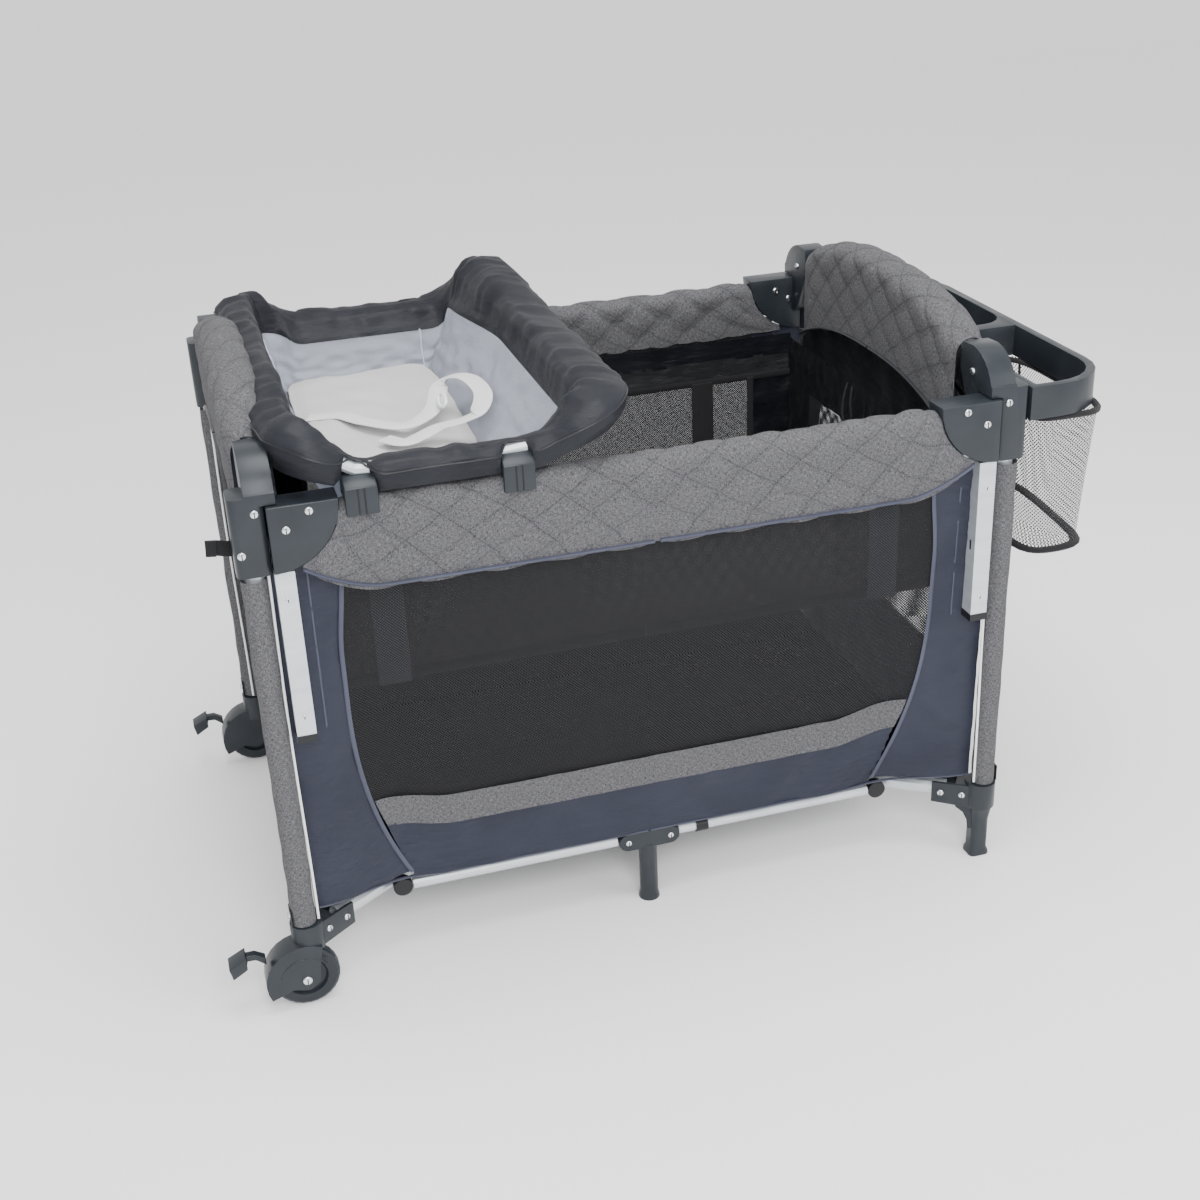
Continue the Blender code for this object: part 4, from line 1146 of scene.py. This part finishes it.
def hook_covers():
    """Plastic covers over the hooks that hang the changer on the long rails, with two ribs each."""
    hook = [(-0.0128, 0.7160), (0.0200, 0.7160), (0.0200, 0.6990), (0.0268, 0.6990), (0.0268, 0.7335),
            (0.0126, 0.7432), (-0.0128, 0.7432)]
    face = RING_Y + 0.0268
    for x in CLIPS:
        for row, sy in ROWS:
            name = f"{row}_{round(-x * 100)}"
            path = [(end, sy * RING_Y, 0) for end in (x - CLIP_HALF - 0.0006, x + CLIP_HALF + 0.0006)]
            cover = sweep(f"hook_cover_{name}", path, [(sy * a, b) for a, b in hook], "plastic", "changer")
            round_edges(cover, 0.0016)
            for k, offset in enumerate((-0.004, 0.004)):
                rib = [(x + offset, sy * face, z) for z in (0.7005, 0.7325)]
                sweep(f"hook_rib_{name}_{k}", rib, circle(0.0011, 6), "black_plastic", "changer", side=RIGHT)


def changer_pad():
    """Puffed pad with a seam across it, from a short cloth simulation."""
    thick = 0.020
    x0, x1, y1 = PAD_X0 - 0.007, PAD_X1 + 0.005, PAD_Y + 0.006
    middle_z = PAD_Z + thick / 2

    def point(s, t):
        a, b = rounded_square(s, 7)
        reach = 1 - abs(2 * t - 1)
        grow = max(1 - reach, 0.01)
        rise = (thick / 2 - 0.003) * ease(min(1, reach * 5))
        z = middle_z + (rise if t >= 0.5 else -rise)
        return Vector(((x0 + x1) / 2 + (x1 - x0) / 2 * a * grow, y1 * b * grow, z))

    made = cushion("changer_pad_cushion", point, 72, 36, "pad", "changer")
    puff(made, 1.6, 0.010)
    for vert in made.data.vertices:
        rise = min((vert.co.z - middle_z) / 0.005, 1.0)
        if rise > 0:
            vert.co.z += rise * crumple((vert.co.x, vert.co.y, 0), 0.06, 0.006, 5.0)
            vert.co.z -= rise * 0.004 * exp(-(((vert.co.y - 0.055) / 0.006) ** 2))
        vert.co.z = max(vert.co.z, PAD_Z + 0.0016)
    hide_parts("changer_pad")


def changer_strap():
    """Safety strap that lies in a loop on the pad, with its slider."""
    route = [
        (-0.374, 0.064, 0.680), (-0.332, 0.047, 0.683), (-0.304, 0.007, 0.684), (-0.259, -0.033, 0.684),
        (-0.225, -0.019, 0.687), (-0.203, 0.009, 0.693), (-0.187, 0.050, 0.705), (-0.169, 0.048, 0.718),
        (-0.151, 0.012, 0.724), (-0.144, -0.040, 0.718), (-0.159, -0.075, 0.706), (-0.180, -0.076, 0.696),
        (-0.213, -0.068, 0.688), (-0.244, -0.085, 0.684), (-0.267, -0.095, 0.683), (-0.289, -0.067, 0.682),
    ]
    sweep("changer_strap", smooth_path(route, 90), strip(0.026, 0.0018), "white_strap", "changer")
    middle = Vector((-0.196, -0.012, 0.705))
    slider = [middle + Vector((0.004 * a, 0.020 * b, 0.006 * a)) for a, b in circle(1.0, 28)]
    sweep("strap_slider", slider, circle(0.0024), "white", "changer", closed=True)


def puff(made, pressure, cap):
    """Inflates a closed cushion with a short cloth simulation, then applies it."""
    before = [v.co.copy() for v in made.data.vertices]
    modifier = made.modifiers.new("puff", "CLOTH")
    settings = modifier.settings
    settings.use_pressure = True
    settings.uniform_pressure_force = pressure
    settings.effector_weights.gravity = 0
    settings.tension_stiffness = 20
    settings.compression_stiffness = 20
    scene = bpy.context.scene
    for step in range(1, 15):
        scene.frame_set(step)
    graph = bpy.context.evaluated_depsgraph_get()
    after = [v.co.copy() for v in made.evaluated_get(graph).data.vertices]
    made.modifiers.remove(modifier)
    scene.frame_set(1)
    for vert, old, new in zip(made.data.vertices, before, after):
        move = new - old
        if move.length > cap:
            move *= cap / move.length
        vert.co = old + move


# ---- organizer


def organizer():
    """Mesh pocket under the tray's ring, bound with black tape at its base and under the ring."""
    low, high = POCKET_LOW, POCKET_HIGH

    def wall(s, t):
        """Round the pocket along s, from its base up to the ring."""
        x0, x1 = lerp(low.x + 0.012, low.x, t), lerp(high.x - 0.010, high.x, t)
        y0, y1 = lerp(low.y + 0.016, low.y, t), lerp(high.y - 0.026, high.y, t)
        a, b = rounded_square(s, 4.5)
        x, y = (x0 + x1) / 2 + (x1 - x0) / 2 * a, (y0 + y1) / 2 + (y1 - y0) / 2 * b
        z = lerp(low.z + 0.002, high.z + 0.002, t)
        sag = 0.004 * sin(pi * t) * sin(6 * pi * s)
        return Vector((x + sag, y + sag * 0.5, z + (0.010 * sin(2 * pi * s) + 0.008) * (1 - t)))

    def base(s, t):
        middle = Vector(((low.x + high.x) / 2, (low.y + high.y) / 2, low.z + 0.004))
        return wall(s, 0.0).lerp(middle, t * 0.985)

    made = cloth("organizer_net", wall, 72, 24, "pocket_net", "organizer", closed=True)
    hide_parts("organizer_pocket")
    cloth("organizer_net_base", base, 48, 8, "pocket_net", "organizer", closed=True)
    for name, t, profile in (("low", 0.0, circle(0.0075, 8, 0.5)), ("high", 0.97, circle(0.0048, 8, 0.9))):
        rim = [wall(i / 48, t) for i in range(48)]
        sweep(f"pocket_binding_{name}", rim, profile, "strap", "organizer", closed=True)
    for i, s in enumerate((0.12, 0.38)):
        seam = along(10, lambda t: wall(s, t))
        sweep(f"pocket_seam_{i}", seam, circle(0.0020), "strap", "organizer", side=RIGHT)


# ---- stage, lights, camera


def stage():
    """A pale, plain floor with a white world and three soft lights."""
    bpy.ops.mesh.primitive_plane_add(size=14, location=(0, 0, -0.0005))
    floor = bpy.context.object
    floor.name = "studio_floor"
    shader = Shader("studio_floor")
    tone = shader.noise("Object", (0.6, 0.6, 0.6), 2)
    paper = shader.blend(tone, (0.955, 0.955, 0.955), (0.975, 0.975, 0.975))
    floor.data.materials.append(shader.finish(paper, 0.8))
    world = bpy.data.worlds.new("studio")
    bpy.context.scene.world = world
    world.use_nodes = True
    background = world.node_tree.nodes["Background"]
    background.inputs["Color"].default_value = (1, 1, 1, 1)
    background.inputs["Strength"].default_value = 1.25
    lights = (
        ("key", (-0.4, -3.2, 2.6), 1.6, 115),
        ("fill", (2.4, -2.2, 1.8), 1.8, 30),
        ("top", (0.0, -0.4, 3.0), 1.6, 60),
    )
    for name, place, size, power in lights:
        light = bpy.data.lights.new(name, "AREA")
        light.energy = power
        light.size = size
        lamp = bpy.data.objects.new(name, light)
        lamp.location = place
        lamp.rotation_euler = (Vector((0, 0, 0.4)) - Vector(place)).to_track_quat("-Z", "Y").to_euler()
        link(lamp)


def camera():
    """The camera, turned by its yaw, pitch and roll."""
    data = bpy.data.cameras.new("camera")
    data.lens = CAMERA_LENS
    data.sensor_width = 36
    view = bpy.data.objects.new("camera", data)
    yaw, pitch, roll = (radians(angle) for angle in (CAMERA_YAW, CAMERA_PITCH, CAMERA_ROLL))
    facing = Matrix.Rotation(-yaw, 4, "Z") @ Matrix.Rotation(pi / 2 - pitch, 4, "X")
    view.matrix_world = Matrix.Translation(CAMERA_AT) @ facing @ Matrix.Rotation(roll, 4, "Z")
    link(view)
    bpy.context.scene.camera = view


camera()
stage()
dress_frame()
corner_rivets()
small_parts()
channel_caps()
wheel_faces()
side_tab()
for build in (post_sleeve, long_quilt, end_quilt, long_wall, end_wall, floor_quarter, bassinet):
    for side, sx in SIDES:
        for row, sy in ROWS:
            build(side, sx, row, sy)
mattress()
changer()
hook_covers()
changer_pad()
changer_strap()
organizer()
